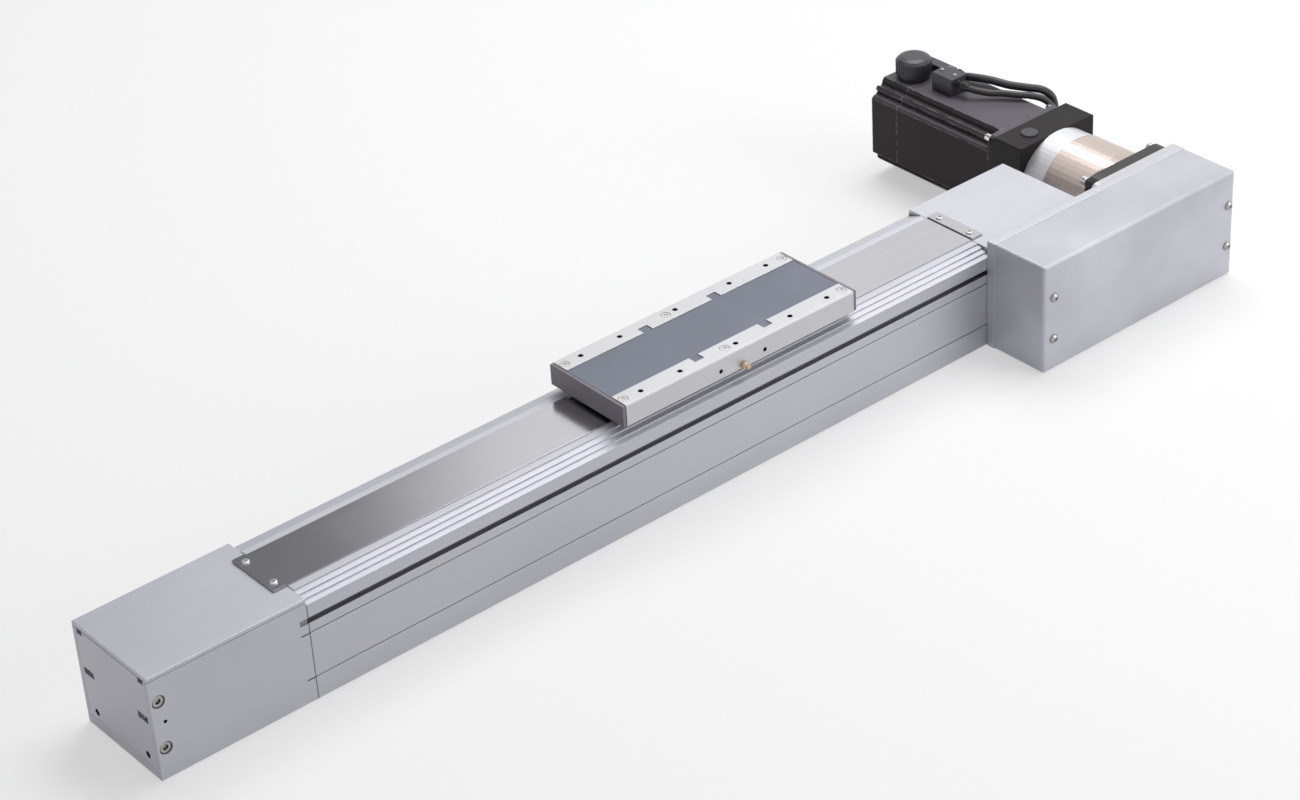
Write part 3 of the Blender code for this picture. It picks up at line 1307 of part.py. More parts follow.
def motor_section():
    """The whole section of the motor, with its four corners alike."""
    points = []
    for quarter in range(4):
        turn = Matrix.Rotation(math.radians(90 * quarter), 2)
        points += [turn @ Vector(corner) for corner in motor_corner()]
    return [(GEARBOX_X + point.x, SHAFT_HEIGHT + point.y) for point in points]


def make_motor():
    flange_end = MOTOR_START + MOTOR_FLANGE_LENGTH
    flange = square_block(
        "motor_flange", MOTOR_SIZE, MOTOR_FLANGE_CORNER, MOTOR_START, flange_end, "black_metal"
    )
    shaft_bore = MOTOR_SHAFT + 2 * RUNNING_GAP
    cut(flange, gearbox_rod("motor_flange_bore", MOTOR_START - GAP, flange_end + GAP, shaft_bore, sides=24))
    body_end = MOTOR_BODY_START + MOTOR_BODY_LENGTH
    body = prism("motor_body", [motor_section()], "Y", MOTOR_BODY_START, body_end, "black_metal")
    buried = MOTOR_BODY_START + MOTOR_SHAFT_BURIED
    cut(body, gearbox_rod("motor_body_bore", MOTOR_BODY_START - GAP, buried, shaft_bore, sides=24))
    prism("motor_rear_cover", [motor_section()], "Y", MOTOR_REAR_START, MOTOR_END, "black_metal")
    rotor = moving_frame("motor_axis", (GEARBOX_X, MOTOR_START, SHAFT_HEIGHT))
    shaft_start = INPUT_END - MOTOR_SHAFT_BURIED + GAP
    shaft = gearbox_rod("motor_shaft", shaft_start, buried - GAP, MOTOR_SHAFT, "bearing_steel", 24)
    hub_start = (ADAPTER_START + ADAPTER_END - MOTOR_HUB_LENGTH) / 2
    join(shaft, gearbox_rod("clamp_hub", hub_start, hub_start + MOTOR_HUB_LENGTH, MOTOR_HUB))
    carry(rotor, shaft)
    radius = CAP_DIAMETER / 2
    cap_profile = [
        (0, CAP_HEIGHT),
        (radius * 0.62, CAP_HEIGHT),
        (radius * 0.86, CAP_HEIGHT * 0.93),
        (radius, CAP_HEIGHT * 0.82),
        (radius, CAP_HEIGHT * 0.18),
        (radius * 0.90, CAP_HEIGHT * 0.16),
        (radius * 0.90, GAP),
        (0, GAP),
    ]
    turned("motor_round_cap", on_motor(CAP_PLACE, MOTOR_TOP), "Z", cap_profile, "black_metal", 32)


def on_motor(place, height):
    """A point of the motor, given from the gearbox's axis and the motor's front."""
    return (GEARBOX_X + place[0], MOTOR_START + place[1], height)


def placed_route(route):
    return [on_motor(point, point[2]) for point in route]


def make_connector(name, place, size, lead, lead_diameter):
    """A connector block on the motor's top, with a short sleeve that a lead comes out of."""
    width, length, height = size
    middle = Vector(on_motor(place, MOTOR_TOP + GAP + height / 2))
    half_size = Vector((width / 2, length / 2, height / 2))
    block = box(name, middle - half_size, middle + half_size, "dark_plastic", CONNECTOR_EDGE)
    front = middle.y - length / 2
    exit_point = lead[0]
    sleeve_end = front - LEAD_SLEEVE_LENGTH
    sleeve_place = (exit_point[0], (front + sleeve_end) / 2 + GAP, exit_point[2])
    diameter = lead_diameter + 2 * LEAD_SLEEVE_WALL
    join(block, rod(name + "_sleeve", sleeve_place, "Y", LEAD_SLEEVE_LENGTH + 2 * GAP, diameter, sides=16))


def smooth_points(route, step):
    """Points at even steps on a smooth curve through a route's points."""
    knots = [Vector(point) for point in route]
    ends = [2 * knots[0] - knots[1]] + knots + [2 * knots[-1] - knots[-2]]
    fine = []
    for index in range(1, len(ends) - 2):
        before, first, second, after = ends[index - 1 : index + 3]
        for part in range(12):
            share = part / 12
            fine.append(
                0.5
                * (
                    2 * first
                    + (second - before) * share
                    + (2 * before - 5 * first + 4 * second - after) * share**2
                    + (3 * first - before - 3 * second + after) * share**3
                )
            )
    fine.append(knots[-1])
    lengths = [0.0]
    for first, second in zip(fine, fine[1:]):
        lengths.append(lengths[-1] + (second - first).length)
    count = max(2, round(lengths[-1] / step))
    points = []
    for place in range(count + 1):
        wanted = lengths[-1] * place / count
        index = min(range(1, len(lengths)), key=lambda i: (lengths[i] < wanted, i))
        share = (wanted - lengths[index - 1]) / (lengths[index] - lengths[index - 1])
        points.append(fine[index - 1].lerp(fine[index], share))
    return points


def make_lead(name, route, diameter):
    """A round lead along its route, as a curve with filled ends."""
    curve = bpy.data.curves.new(name, "CURVE")
    curve.dimensions = "3D"
    curve.bevel_depth = diameter / 2
    curve.bevel_resolution = 2
    curve.use_fill_caps = True
    curve.materials.append(finish("rubber"))
    points = smooth_points(route, LEAD_STEP)
    spline = curve.splines.new("POLY")
    spline.points.add(len(points) - 1)
    for point, place in zip(spline.points, points):
        point.co = (*place, 1)
    parts.objects.link(bpy.data.objects.new(name, curve))


def make_plug(name, route, size):
    """The plug that a lead ends in, lying behind the motor."""
    end = Vector(route[-1])
    width, length, height = size
    low = (end.x - width / 2, end.y + GAP, GAP)
    high = (end.x + width / 2, end.y + GAP + length, GAP + height)
    box(name, low, high, "dark_plastic", PLUG_EDGE)


def make_leads():
    leads = (
        (
            "power",
            POWER_LEAD_ROUTE,
            POWER_LEAD_DIAMETER,
            POWER_CONNECTOR_PLACE,
            POWER_CONNECTOR_SIZE,
            POWER_PLUG_SIZE,
        ),
        (
            "encoder",
            ENCODER_LEAD_ROUTE,
            ENCODER_LEAD_DIAMETER,
            ENCODER_CONNECTOR_PLACE,
            ENCODER_CONNECTOR_SIZE,
            ENCODER_PLUG_SIZE,
        ),
    )
    for name, route, diameter, place, connector_size, plug_size in leads:
        points = placed_route(route)
        make_connector(name + "_connector", place, connector_size, points, diameter)
        make_lead(name + "_lead", points, diameter)
        make_plug(name + "_plug", points, plug_size)


def main():
    clear_scene()
    make_collections()
    make_profile()
    make_guide()
    make_housings()
    make_idler()
    make_drive()
    make_strip()
    make_carriage()
    make_case()
    make_reduction()
    make_gearbox()
    make_motor()
    make_leads()


main()
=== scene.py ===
"""Dresses the belt-driven linear stage: its finishes, small hardware, leads, studio and camera."""

import math

import bmesh
import bpy
from bpy.props import FloatProperty, FloatVectorProperty, PointerProperty
from mathutils import Matrix, Vector


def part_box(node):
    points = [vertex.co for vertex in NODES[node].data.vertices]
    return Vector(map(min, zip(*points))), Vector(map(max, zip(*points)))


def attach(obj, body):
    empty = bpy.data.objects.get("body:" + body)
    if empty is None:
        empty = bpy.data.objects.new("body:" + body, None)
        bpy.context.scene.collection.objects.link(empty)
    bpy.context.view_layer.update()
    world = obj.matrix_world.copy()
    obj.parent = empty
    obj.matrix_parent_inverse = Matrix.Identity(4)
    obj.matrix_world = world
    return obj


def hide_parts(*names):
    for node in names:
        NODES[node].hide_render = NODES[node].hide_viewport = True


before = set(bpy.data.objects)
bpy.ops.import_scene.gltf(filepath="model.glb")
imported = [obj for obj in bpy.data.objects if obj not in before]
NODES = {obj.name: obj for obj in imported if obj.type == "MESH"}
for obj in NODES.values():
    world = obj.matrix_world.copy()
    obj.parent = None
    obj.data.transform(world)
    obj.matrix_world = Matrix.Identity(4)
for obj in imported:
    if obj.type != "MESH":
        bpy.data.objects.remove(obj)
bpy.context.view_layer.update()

bl_info = {
    "name": "Linear stage",
    "version": (1, 0, 0),
    "blender": (4, 5, 0),
    "location": "View3D > Sidebar > Linear stage",
    "description": "Finishes and small hardware for a belt-driven linear stage",
    "category": "Object",
}

# Places that the CAD gives
STAGE_LOW, STAGE_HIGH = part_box("base_extrusion")
IDLER_LOW, IDLER_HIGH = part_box("idler_housing")
DRIVE_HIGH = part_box("drive_housing")[1]
BODY_LOW, BODY_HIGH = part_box("carriage_body")
STRIP_LOW, STRIP_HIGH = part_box("steel_strip")
CLAMP_LOW, CLAMP_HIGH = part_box("strip_clamp_idler")
FAR_CLAMP_LOW, FAR_CLAMP_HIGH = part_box("strip_clamp_drive")
FLANGE_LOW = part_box("gearbox_flange")[0]
MOTOR_LOW, MOTOR_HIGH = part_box("motor_body")
REAR_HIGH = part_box("motor_rear_cover")[1]
FRONT_LOW, FRONT_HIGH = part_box("motor_flange")
CAP_LOW, CAP_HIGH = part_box("motor_round_cap")
POWER_LOW, POWER_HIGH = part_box("power_connector")
ENCODER_LOW, ENCODER_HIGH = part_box("encoder_connector")
CARRIAGE_X = (BODY_LOW.x + BODY_HIGH.x) / 2
MOTOR_X = (MOTOR_LOW.x + MOTOR_HIGH.x) / 2
SHAFT_Z = (MOTOR_LOW.z + MOTOR_HIGH.z) / 2
NECK_STEP = 0.0131  # from the -Y face of the gearbox flange to its bare neck
LEAD_ORIGIN = Vector((MOTOR_X, FRONT_LOW.y, 0))

# Masks of the painted shade in the grooves of the profile's sides: four values rise over the first pair and
# fall over the last
GROOVE_DEPTHS = (0.0001, 0.0006, 0.0090, 0.0095)
GROOVE_HEIGHTS = (0.003, 0.005, 0.086, 0.087)
# These two only fall, past the profile's ends and away from its seams
GROOVE_ENDS = (0.0090, 0.0095)
SEAM_REACH = (0.0003, 0.0009)

# The rounded edge of the turned parts and the gearbox flange
TURNED_EDGE = 0.0007

# The lead routes of the CAD, placed from the gearbox's axis and the motor's front, with their points listed
POWER_LEAD_ROUTE = (
    (0.0178, 0.1220, 0.1112),
    (0.0178, 0.1125, 0.1112),
    (0.0205, 0.1030, 0.1128),
    (0.0279, 0.0835, 0.1135),
    (0.0350, 0.0625, 0.1125),
    (0.0446, 0.0435, 0.1125),
    (0.0505, 0.0335, 0.1120),
    (0.0560, 0.0260, 0.1065),
    (0.0590, 0.0235, 0.0960),
    (0.0605, 0.0235, 0.0800),
    (0.0610, 0.0245, 0.0620),
    (0.0615, 0.0260, 0.0440),
    (0.0640, 0.0300, 0.0240),
    (0.0690, 0.0390, 0.0110),
    (0.0740, 0.0560, 0.0052),
    (0.0790, 0.0790, 0.0046),
    (0.0790, 0.1045, 0.0046),
    (0.0770, 0.1285, 0.0050),
    (0.0770, 0.1465, 0.0075),
    (0.0770, 0.1605, 0.0075),
)
ENCODER_LEAD_ROUTE = (
    (-0.0060, 0.0905, 0.1180),
    (-0.0060, 0.0810, 0.1180),
    (-0.0010, 0.0745, 0.1155),
    (0.0080, 0.0645, 0.1130),
    (0.0175, 0.0545, 0.1125),
    (0.0260, 0.0430, 0.1118),
    (0.0350, 0.0330, 0.1110),
    (0.0440, 0.0240, 0.1070),
    (0.0500, 0.0170, 0.0985),
    (0.0530, 0.0140, 0.0870),
    (0.0545, 0.0130, 0.0700),
    (0.0560, 0.0135, 0.0500),
    (0.0600, 0.0145, 0.0300),
    (0.0670, 0.0195, 0.0130),
    (0.0790, 0.0325, 0.0052),
    (0.0920, 0.0555, 0.0040),
    (0.0980, 0.0825, 0.0040),
    (0.0990, 0.1095, 0.0042),
    (0.0980, 0.1265, 0.0065),
    (0.0980, 0.1405, 0.0065),
)


class StageSizes(bpy.types.PropertyGroup):
    """Sizes of the small hardware that the CAD leaves out."""

    strip_screw: FloatProperty(
        name="Strip screw", description="Head of the screws that hold the strip", default=0.0072,
        unit="LENGTH",
    )
    strip_screw_spread: FloatProperty(
        name="Strip screw spread", description="Across the strip between its screws", default=0.040,
        unit="LENGTH",
    )
    power_lead: FloatProperty(
        name="Power lead", description="Diameter of the motor's power lead", default=0.0084, unit="LENGTH"
    )
    encoder_lead: FloatProperty(
        name="Encoder lead", description="Diameter of the encoder's lead", default=0.0070, unit="LENGTH"
    )
    end_screw: FloatProperty(
        name="End screw", description="Head of the screws in the housings' sides", default=0.0100,
        unit="LENGTH",
    )
    end_screw_bore: FloatProperty(
        name="End screw bore", description="Counterbore of the end screws", default=0.0124, unit="LENGTH"
    )
    table_hole: FloatProperty(
        name="Table hole", description="Threaded holes in the carriage's rails", default=0.0052, unit="LENGTH"
    )
    dowel_sleeve: FloatProperty(
        name="Dowel sleeve", description="Outside of the dowel sleeves in the rails", default=0.0086,
        unit="LENGTH",
    )
    motor_screw: FloatProperty(
        name="Motor screw", description="Heads in the motor flange's corners", default=0.0078, unit="LENGTH"
    )
    gearbox_screw: FloatProperty(
        name="Gearbox screw", description="Heads in the gearbox flange's corners", default=0.0090,
        unit="LENGTH",
    )


class StageColours(bpy.types.PropertyGroup):
    """Colours of the main finishes."""

    anodised: FloatVectorProperty(
        name="Anodised", description="Profile and housings", default=(0.515, 0.515, 0.565), subtype="COLOR"
    )
    cover: FloatVectorProperty(
        name="Cover", description="Painted cover of the belt case", default=(0.53, 0.53, 0.585),
        subtype="COLOR",
    )
    carriage: FloatVectorProperty(
        name="Carriage", description="Carriage body", default=(0.58, 0.58, 0.605), subtype="COLOR"
    )
    table: FloatVectorProperty(
        name="Table", description="Inset plate of the carriage", default=(0.148, 0.165, 0.215),
        subtype="COLOR",
    )
    strip: FloatVectorProperty(
        name="Strip", description="Steel cover strip", default=(0.55, 0.55, 0.575), subtype="COLOR"
    )
    motor: FloatVectorProperty(
        name="Motor", description="Motor and gearbox flanges", default=(0.029, 0.023, 0.025), subtype="COLOR"
    )


class Term:
    """A socket in a shader, with the arithmetic that adds its Math nodes."""

    def __init__(self, finish, socket):
        self.finish = finish
        self.socket = socket

    def combine(self, operation, first, second):
        node = self.finish.add("ShaderNodeMath", {0: first, 1: second}, operation=operation)
        return Term(self.finish, node.outputs[0])

    def __add__(self, other):
        return self.combine("ADD", self, other)

    def __sub__(self, other):
        return self.combine("SUBTRACT", self, other)

    def __rsub__(self, other):
        return self.combine("SUBTRACT", other, self)

    def __mul__(self, other):
        return self.combine("MULTIPLY", self, other)

    def angle_to(self, other):
        """The angle in degrees of this value above another, as an arc tangent."""
        return self.combine("ARCTAN2", self, other) * math.degrees(1)

    def size(self):
        """The value without its sign."""
        return self.combine("ABSOLUTE", self, 0)

    def clamped(self):
        node = self.finish.add("ShaderNodeClamp", {"Value": self})
        return Term(self.finish, node.outputs[0])


class Finish:
    """The shader of a new material or world, with one method that adds its nodes."""

    def __init__(self, owner):
        owner.use_nodes = True
        self.owner = owner
        self.tree = owner.node_tree
        self.surface = self.tree.nodes.get("Principled BSDF") or self.tree.nodes["Background"]

    def add(self, kind, inputs=None, stops=None, **settings):
        node = self.tree.nodes.new(kind)
        for setting, value in settings.items():
            setattr(node, setting, value)
        if stops:
            ramp = node.color_ramp
            while len(ramp.elements) < len(stops):
                ramp.elements.new(0.5)
            for element, (place, colour) in zip(ramp.elements, stops):
                element.position = place
                element.color = (*colour, 1)
        for name, value in (inputs or {}).items():
            self.feed(node.inputs[name], value)
        return node

    def feed(self, socket, value):
        if isinstance(value, Term):
            self.tree.links.new(value.socket, socket)
        elif isinstance(value, bpy.types.NodeSocket):
            self.tree.links.new(value, socket)
        else:
            socket.default_value = value

    def set(self, **inputs):
        """Sets or links inputs of the Principled shader, with spaces for underscores."""
        for name, value in inputs.items():
            self.feed(self.surface.inputs[name.replace("_", " ")], value)

    def place(self, scale):
        """Object coordinates, stretched for a grain that runs one way."""
        coordinates = self.add("ShaderNodeTexCoord")
        inputs = {"Vector": coordinates.outputs["Object"], "Scale": scale}
        return self.add("ShaderNodeMapping", inputs).outputs["Vector"]

    def axes(self, vector=None):
        """The three parts of a vector, or of the object's own coordinates."""
        if vector is None:
            vector = self.add("ShaderNodeTexCoord").outputs["Object"]
        node = self.add("ShaderNodeSeparateXYZ", {"Vector": vector})
        return [Term(self, socket) for socket in node.outputs]

    def upward(self):
        """A mask of the faces that look up."""
        geometry = self.add("ShaderNodeNewGeometry")
        return self.span(self.axes(geometry.outputs["Normal"])[2], 0.6, 0.95)

    def noise(self, scale, detail=3.0, roughness=0.5, stretch=(1, 1, 1)):
        texture = self.add(
            "ShaderNodeTexNoise",
            {"Vector": self.place(stretch), "Scale": scale, "Detail": detail, "Roughness": roughness},
        )
        return Term(self, texture.outputs["Fac"])

    def span(self, value, low, high, start=0.0, end=1.0):
        """Maps a value's range on another, without going past its ends."""
        node = self.add(
            "ShaderNodeMapRange",
            {"Value": value, "From Min": low, "From Max": high, "To Min": start, "To Max": end},
            clamp=True,
        )
        return Term(self, node.outputs["Result"])

    def between(self, value, start, full, fade, end):
        """A mask that rises from start to full and falls from fade to end."""
        return self.span(value, start, full) * self.span(value, fade, end, 1.0, 0.0)

    def background_rays(self):
        """A mask of the rays that show the background, also off metal and through glass."""
        rays = self.add("ShaderNodeLightPath")
        seen = Term(self, rays.outputs["Is Camera Ray"]) + rays.outputs["Is Glossy Ray"]
        return (seen + rays.outputs["Is Transmission Ray"]).clamped()

    def blend(self, factor, first, second, mode="MIX"):
        """Mixes two colours."""
        node = self.add("ShaderNodeMix", data_type="RGBA", blend_type=mode)
        self.feed(node.inputs[0], factor)
        for socket, colour in ((node.inputs[6], first), (node.inputs[7], second)):
            self.feed(socket, (*colour, 1) if isinstance(colour, (tuple, list, Vector)) else colour)
        return node.outputs[2]

    def soft_edge(self, radius):
        """The normal with its edges rounded off, and a mask of where they are."""
        rounded = self.add("ShaderNodeBevel", {"Radius": radius}, samples=4)
        geometry = self.add("ShaderNodeNewGeometry")
        dot = self.add(
            "ShaderNodeVectorMath",
            {0: rounded.outputs["Normal"], 1: geometry.outputs["Normal"]},
            operation="DOT_PRODUCT",
        )
        edge = self.span(1 - Term(self, dot.outputs["Value"]), 0.004, 0.12)
        return rounded.outputs["Normal"], edge

    def bump(self, height, strength, distance, normal=None):
        inputs = {"Height": height, "Strength": strength, "Distance": distance}
        if normal:
            inputs["Normal"] = normal
        return self.add("ShaderNodeBump", inputs).outputs["Normal"]


def shade(colour, factor):
    """A colour made lighter or darker."""
    return tuple(min(1.0, channel * factor) for channel in colour)


def groove_shade(finish):
    """A mask of painted shade in the profile's side grooves, with their ends in the housings, and along its
    two seams.
    """
    along, across, height = finish.axes()
    depth = STAGE_HIGH.y - across.size()
    reach = (along - (STAGE_LOW.x + STAGE_HIGH.x) / 2).size()
    half_length = (STAGE_HIGH.x - STAGE_LOW.x) / 2
    inside = finish.between(depth, *GROOVE_DEPTHS)
    sides = finish.between(height, *GROOVE_HEIGHTS)
    fade, end = GROOVE_ENDS
    groove = inside * sides * finish.span(reach, half_length + fade, half_length + end, 1.0, 0.0)
    seam = finish.span((reach - half_length).size(), *SEAM_REACH, 1.0, 0.0)
    return (groove + seam).clamped()


def metal_finish(colour, roughness, metallic, grain, grain_scale=900, edge=0.0006, groove_painted_shade=False):
    """A metal with a fine grain that may run one way, slow changes of tone and lighter edges, partly from
    rubbing and partly painted highlight.
    """
    grain_depth = 0.00001
    wear_and_highlight = 0.5
    finish = Finish(bpy.data.materials.new("finish"))
    normal, rim = finish.soft_edge(edge)
    fine = finish.noise(grain_scale, detail=4.0, roughness=0.6, stretch=grain)
    cloud = finish.noise(9, detail=2.0)
    smudge = finish.noise(38, detail=5.0, roughness=0.65)
    tone = finish.blend(finish.span(cloud, 0.3, 0.7), shade(colour, 0.95), shade(colour, 1.05))
    grained = finish.blend(finish.span(fine, 0.25, 0.75), shade(colour, 0.93), shade(colour, 1.06))
    mixed = finish.blend(0.5, tone, grained)
    # Lighter edges: partly rubbing, partly painted highlight
    base_colour = finish.blend(rim * wear_and_highlight * finish.span(smudge, 0.3, 0.6), mixed, shade(colour, 1.35))
    # The profile's grooves and seams are darkened here: painted shade
    if groove_painted_shade:
        base_colour = finish.blend(groove_shade(finish) * 0.7, base_colour, shade(colour, 0.30))
    brushed = finish.span(fine, 0.2, 0.8, roughness - 0.05, roughness + 0.05)
    finish.set(
        Base_Color=base_colour,
        Metallic=metallic,
        Roughness=(brushed + smudge * 0.06 - rim * 0.06).clamped(),
        Normal=finish.bump(fine, 0.25, grain_depth, normal),
    )
    return finish.owner


def strip_finish(colour):
    """Rolled stainless strip, nearly a mirror along its length, with long hairlines."""
    finish = Finish(bpy.data.materials.new("finish"))
    hair = finish.noise(700, detail=5.0, roughness=0.7, stretch=(0.004, 1, 1))
    band = finish.noise(60, detail=2.0, roughness=0.5, stretch=(0.01, 1, 1))
    haze = finish.noise(12, detail=3.0)
    lined = finish.blend(finish.span(hair, 0.25, 0.75), shade(colour, 0.93), shade(colour, 1.07))
    finish.set(
        Base_Color=finish.blend(finish.span(band, 0.3, 0.7) * 0.4, lined, shade(colour, 1.08)),
        Metallic=1.0,
        Roughness=finish.span(haze, 0.3, 0.7, 0.13, 0.16) + finish.span(hair, 0.2, 0.8) * 0.04,
        Normal=finish.bump(hair, 0.15, 0.000006),
    )
    return finish.owner


def turned_finish(colour, roughness, metallic=1.0):
    """A lathe-turned ring, with fine lines round its axis and darker rims."""
    finish = Finish(bpy.data.materials.new("finish"))
    normal, rim = finish.soft_edge(TURNED_EDGE)
    lines = finish.noise(1500, detail=3.0, roughness=0.6, stretch=(0.02, 1, 0.02))
    bands = finish.noise(130, detail=2.0, roughness=0.5, stretch=(0.03, 1, 0.03))
    haze = finish.noise(25, detail=3.0)
    lined = finish.blend(finish.span(lines, 0.25, 0.75), shade(colour, 0.94), shade(colour, 1.06))
    toned = finish.blend(finish.span(bands, 0.35, 0.65) * 0.5, lined, shade(colour, 0.96))
    finish.set(
        Base_Color=finish.blend(rim * 0.4, toned, shade(colour, 0.35)),
        Metallic=metallic,
        Roughness=finish.span(haze, 0.3, 0.7, roughness, roughness + 0.03) + lines * 0.04,
        Normal=finish.bump(lines, 0.15, 0.00001, normal),
    )
    return finish.owner


def flange_finish(coat, steel, step):
    """A black coated plate up to a step along Y, with a neck of bare turned steel past it."""
    finish = Finish(bpy.data.materials.new("finish"))
    normal, rim = finish.soft_edge(TURNED_EDGE)
    neck = finish.span(finish.axes()[1], step, step + 0.0002)
    lines = finish.noise(1500, detail=3.0, roughness=0.6, stretch=(0.02, 1, 0.02))
    peel = finish.noise(1200, detail=3.0, roughness=0.55)
    plate = finish.blend(rim * 0.45 * finish.span(peel, 0.3, 0.6), coat, shade(steel, 0.4))
    turned = finish.blend(finish.span(lines, 0.25, 0.75), shade(steel, 0.92), shade(steel, 1.06))
    finish.set(
        Base_Color=finish.blend(neck, plate, turned),
        Metallic=neck,
        Roughness=finish.span(neck, 0.0, 1.0, 0.40, 0.22) + peel * 0.08 - 0.04,
        Normal=finish.bump(lines, 0.15, 0.00001, normal),
    )
    return finish.owner


def coated_finish(
    colour,
    roughness,
    texture_scale,
    texture_depth,
    edge,
    wear_and_highlight_colour,
    wear_and_highlight,
    metallic=0.0,
    shine=0.5,
    dust_and_top_light=None,
):
    """Paint or a black coat with a fine texture, lighter top faces as settled dirt and painted light, and
    lighter edges, partly from rubbing and partly painted highlight.
    """
    finish = Finish(bpy.data.materials.new("finish"))
    normal, rim = finish.soft_edge(edge)
    peel = finish.noise(texture_scale, detail=3.0, roughness=0.55)
    cloud = finish.noise(14, detail=3.0)
    scuffs = finish.noise(85, detail=6.0, roughness=0.7)
    tone = finish.blend(finish.span(cloud, 0.3, 0.7), shade(colour, 0.92), shade(colour, 1.10))
    # Top faces made lighter: partly settled dirt, partly painted light from above
    if dust_and_top_light:
        tone = finish.blend(finish.upward(), tone, dust_and_top_light)
    # Lighter edges: partly rubbing, partly painted highlight, which is strong on the motor's ribs
    lighter_edges = rim * wear_and_highlight * finish.span(scuffs, 0.38, 0.62)
    sheen = finish.span(peel, 0.2, 0.8, roughness - 0.06, roughness + 0.06)
    finish.set(
        Base_Color=finish.blend(lighter_edges, tone, wear_and_highlight_colour),
        Metallic=metallic,
        Specular_IOR_Level=shine,
        Roughness=(sheen + scuffs * 0.08 - 0.04).clamped(),
        Normal=finish.bump(peel, 0.3, texture_depth, normal),
    )
    return finish.owner


def rubber_finish(colour, roughness):
    """Lead sheath and belts, dull, with a faint bloom."""
    finish = Finish(bpy.data.materials.new("finish"))
    bloom = finish.noise(60, detail=4.0, roughness=0.6)
    pores = finish.noise(1400, detail=2.0)
    finish.set(
        Base_Color=finish.blend(finish.span(bloom, 0.35, 0.7), colour, shade(colour, 1.8)),
        Roughness=finish.span(bloom, 0.3, 0.7, roughness - 0.06, roughness + 0.06),
        Normal=finish.bump(pores, 0.2, 0.00002),
    )
    return finish.owner


FINISHED = {
    "anodised": (
        "idler_end_plate idler_top_cover drive_end_plate drive_top_cover drive_base_plate tension_yoke"
    ),
    "profile": "base_extrusion idler_housing drive_housing",
    "cover": "drive_cover",
    "carriage": "carriage_body gearbox_plate idler_pulley drive_pulley driven_pulley motor_pulley",
    "input_ring": "gearbox_input_ring",
    "strip": "steel_strip strip_clamp_idler strip_clamp_drive",
    "ring": "gearbox_ring_gear",
    "ground_steel": (
        "guide_rail guide_block_idler guide_block_drive idler_axle idler_bearing_near idler_bearing_far "
        "drive_bearing_near drive_bearing_far drive_shaft gearbox_output_shaft motor_shaft belt_clamp"
    ),
    "screws": (
        "cover_screw_1 cover_screw_2 cover_screw_3 cover_screw_4 end_screw_lower end_screw_upper "
        "tension_screw_near tension_screw_far"
    ),
    "table": "carriage_top_plate",
    "end_caps": "end_cap_idler end_cap_drive",
    "plastic": "adapter_plug motor_round_cap power_connector encoder_connector power_plug encoder_plug",
    "motor": "motor_flange motor_body motor_rear_cover",
    "flange": "gearbox_flange",
    "adapter": "motor_adapter",
    "rubber": "main_belt reduction_belt power_lead encoder_lead",
    "brass": "grease_nipple",
}


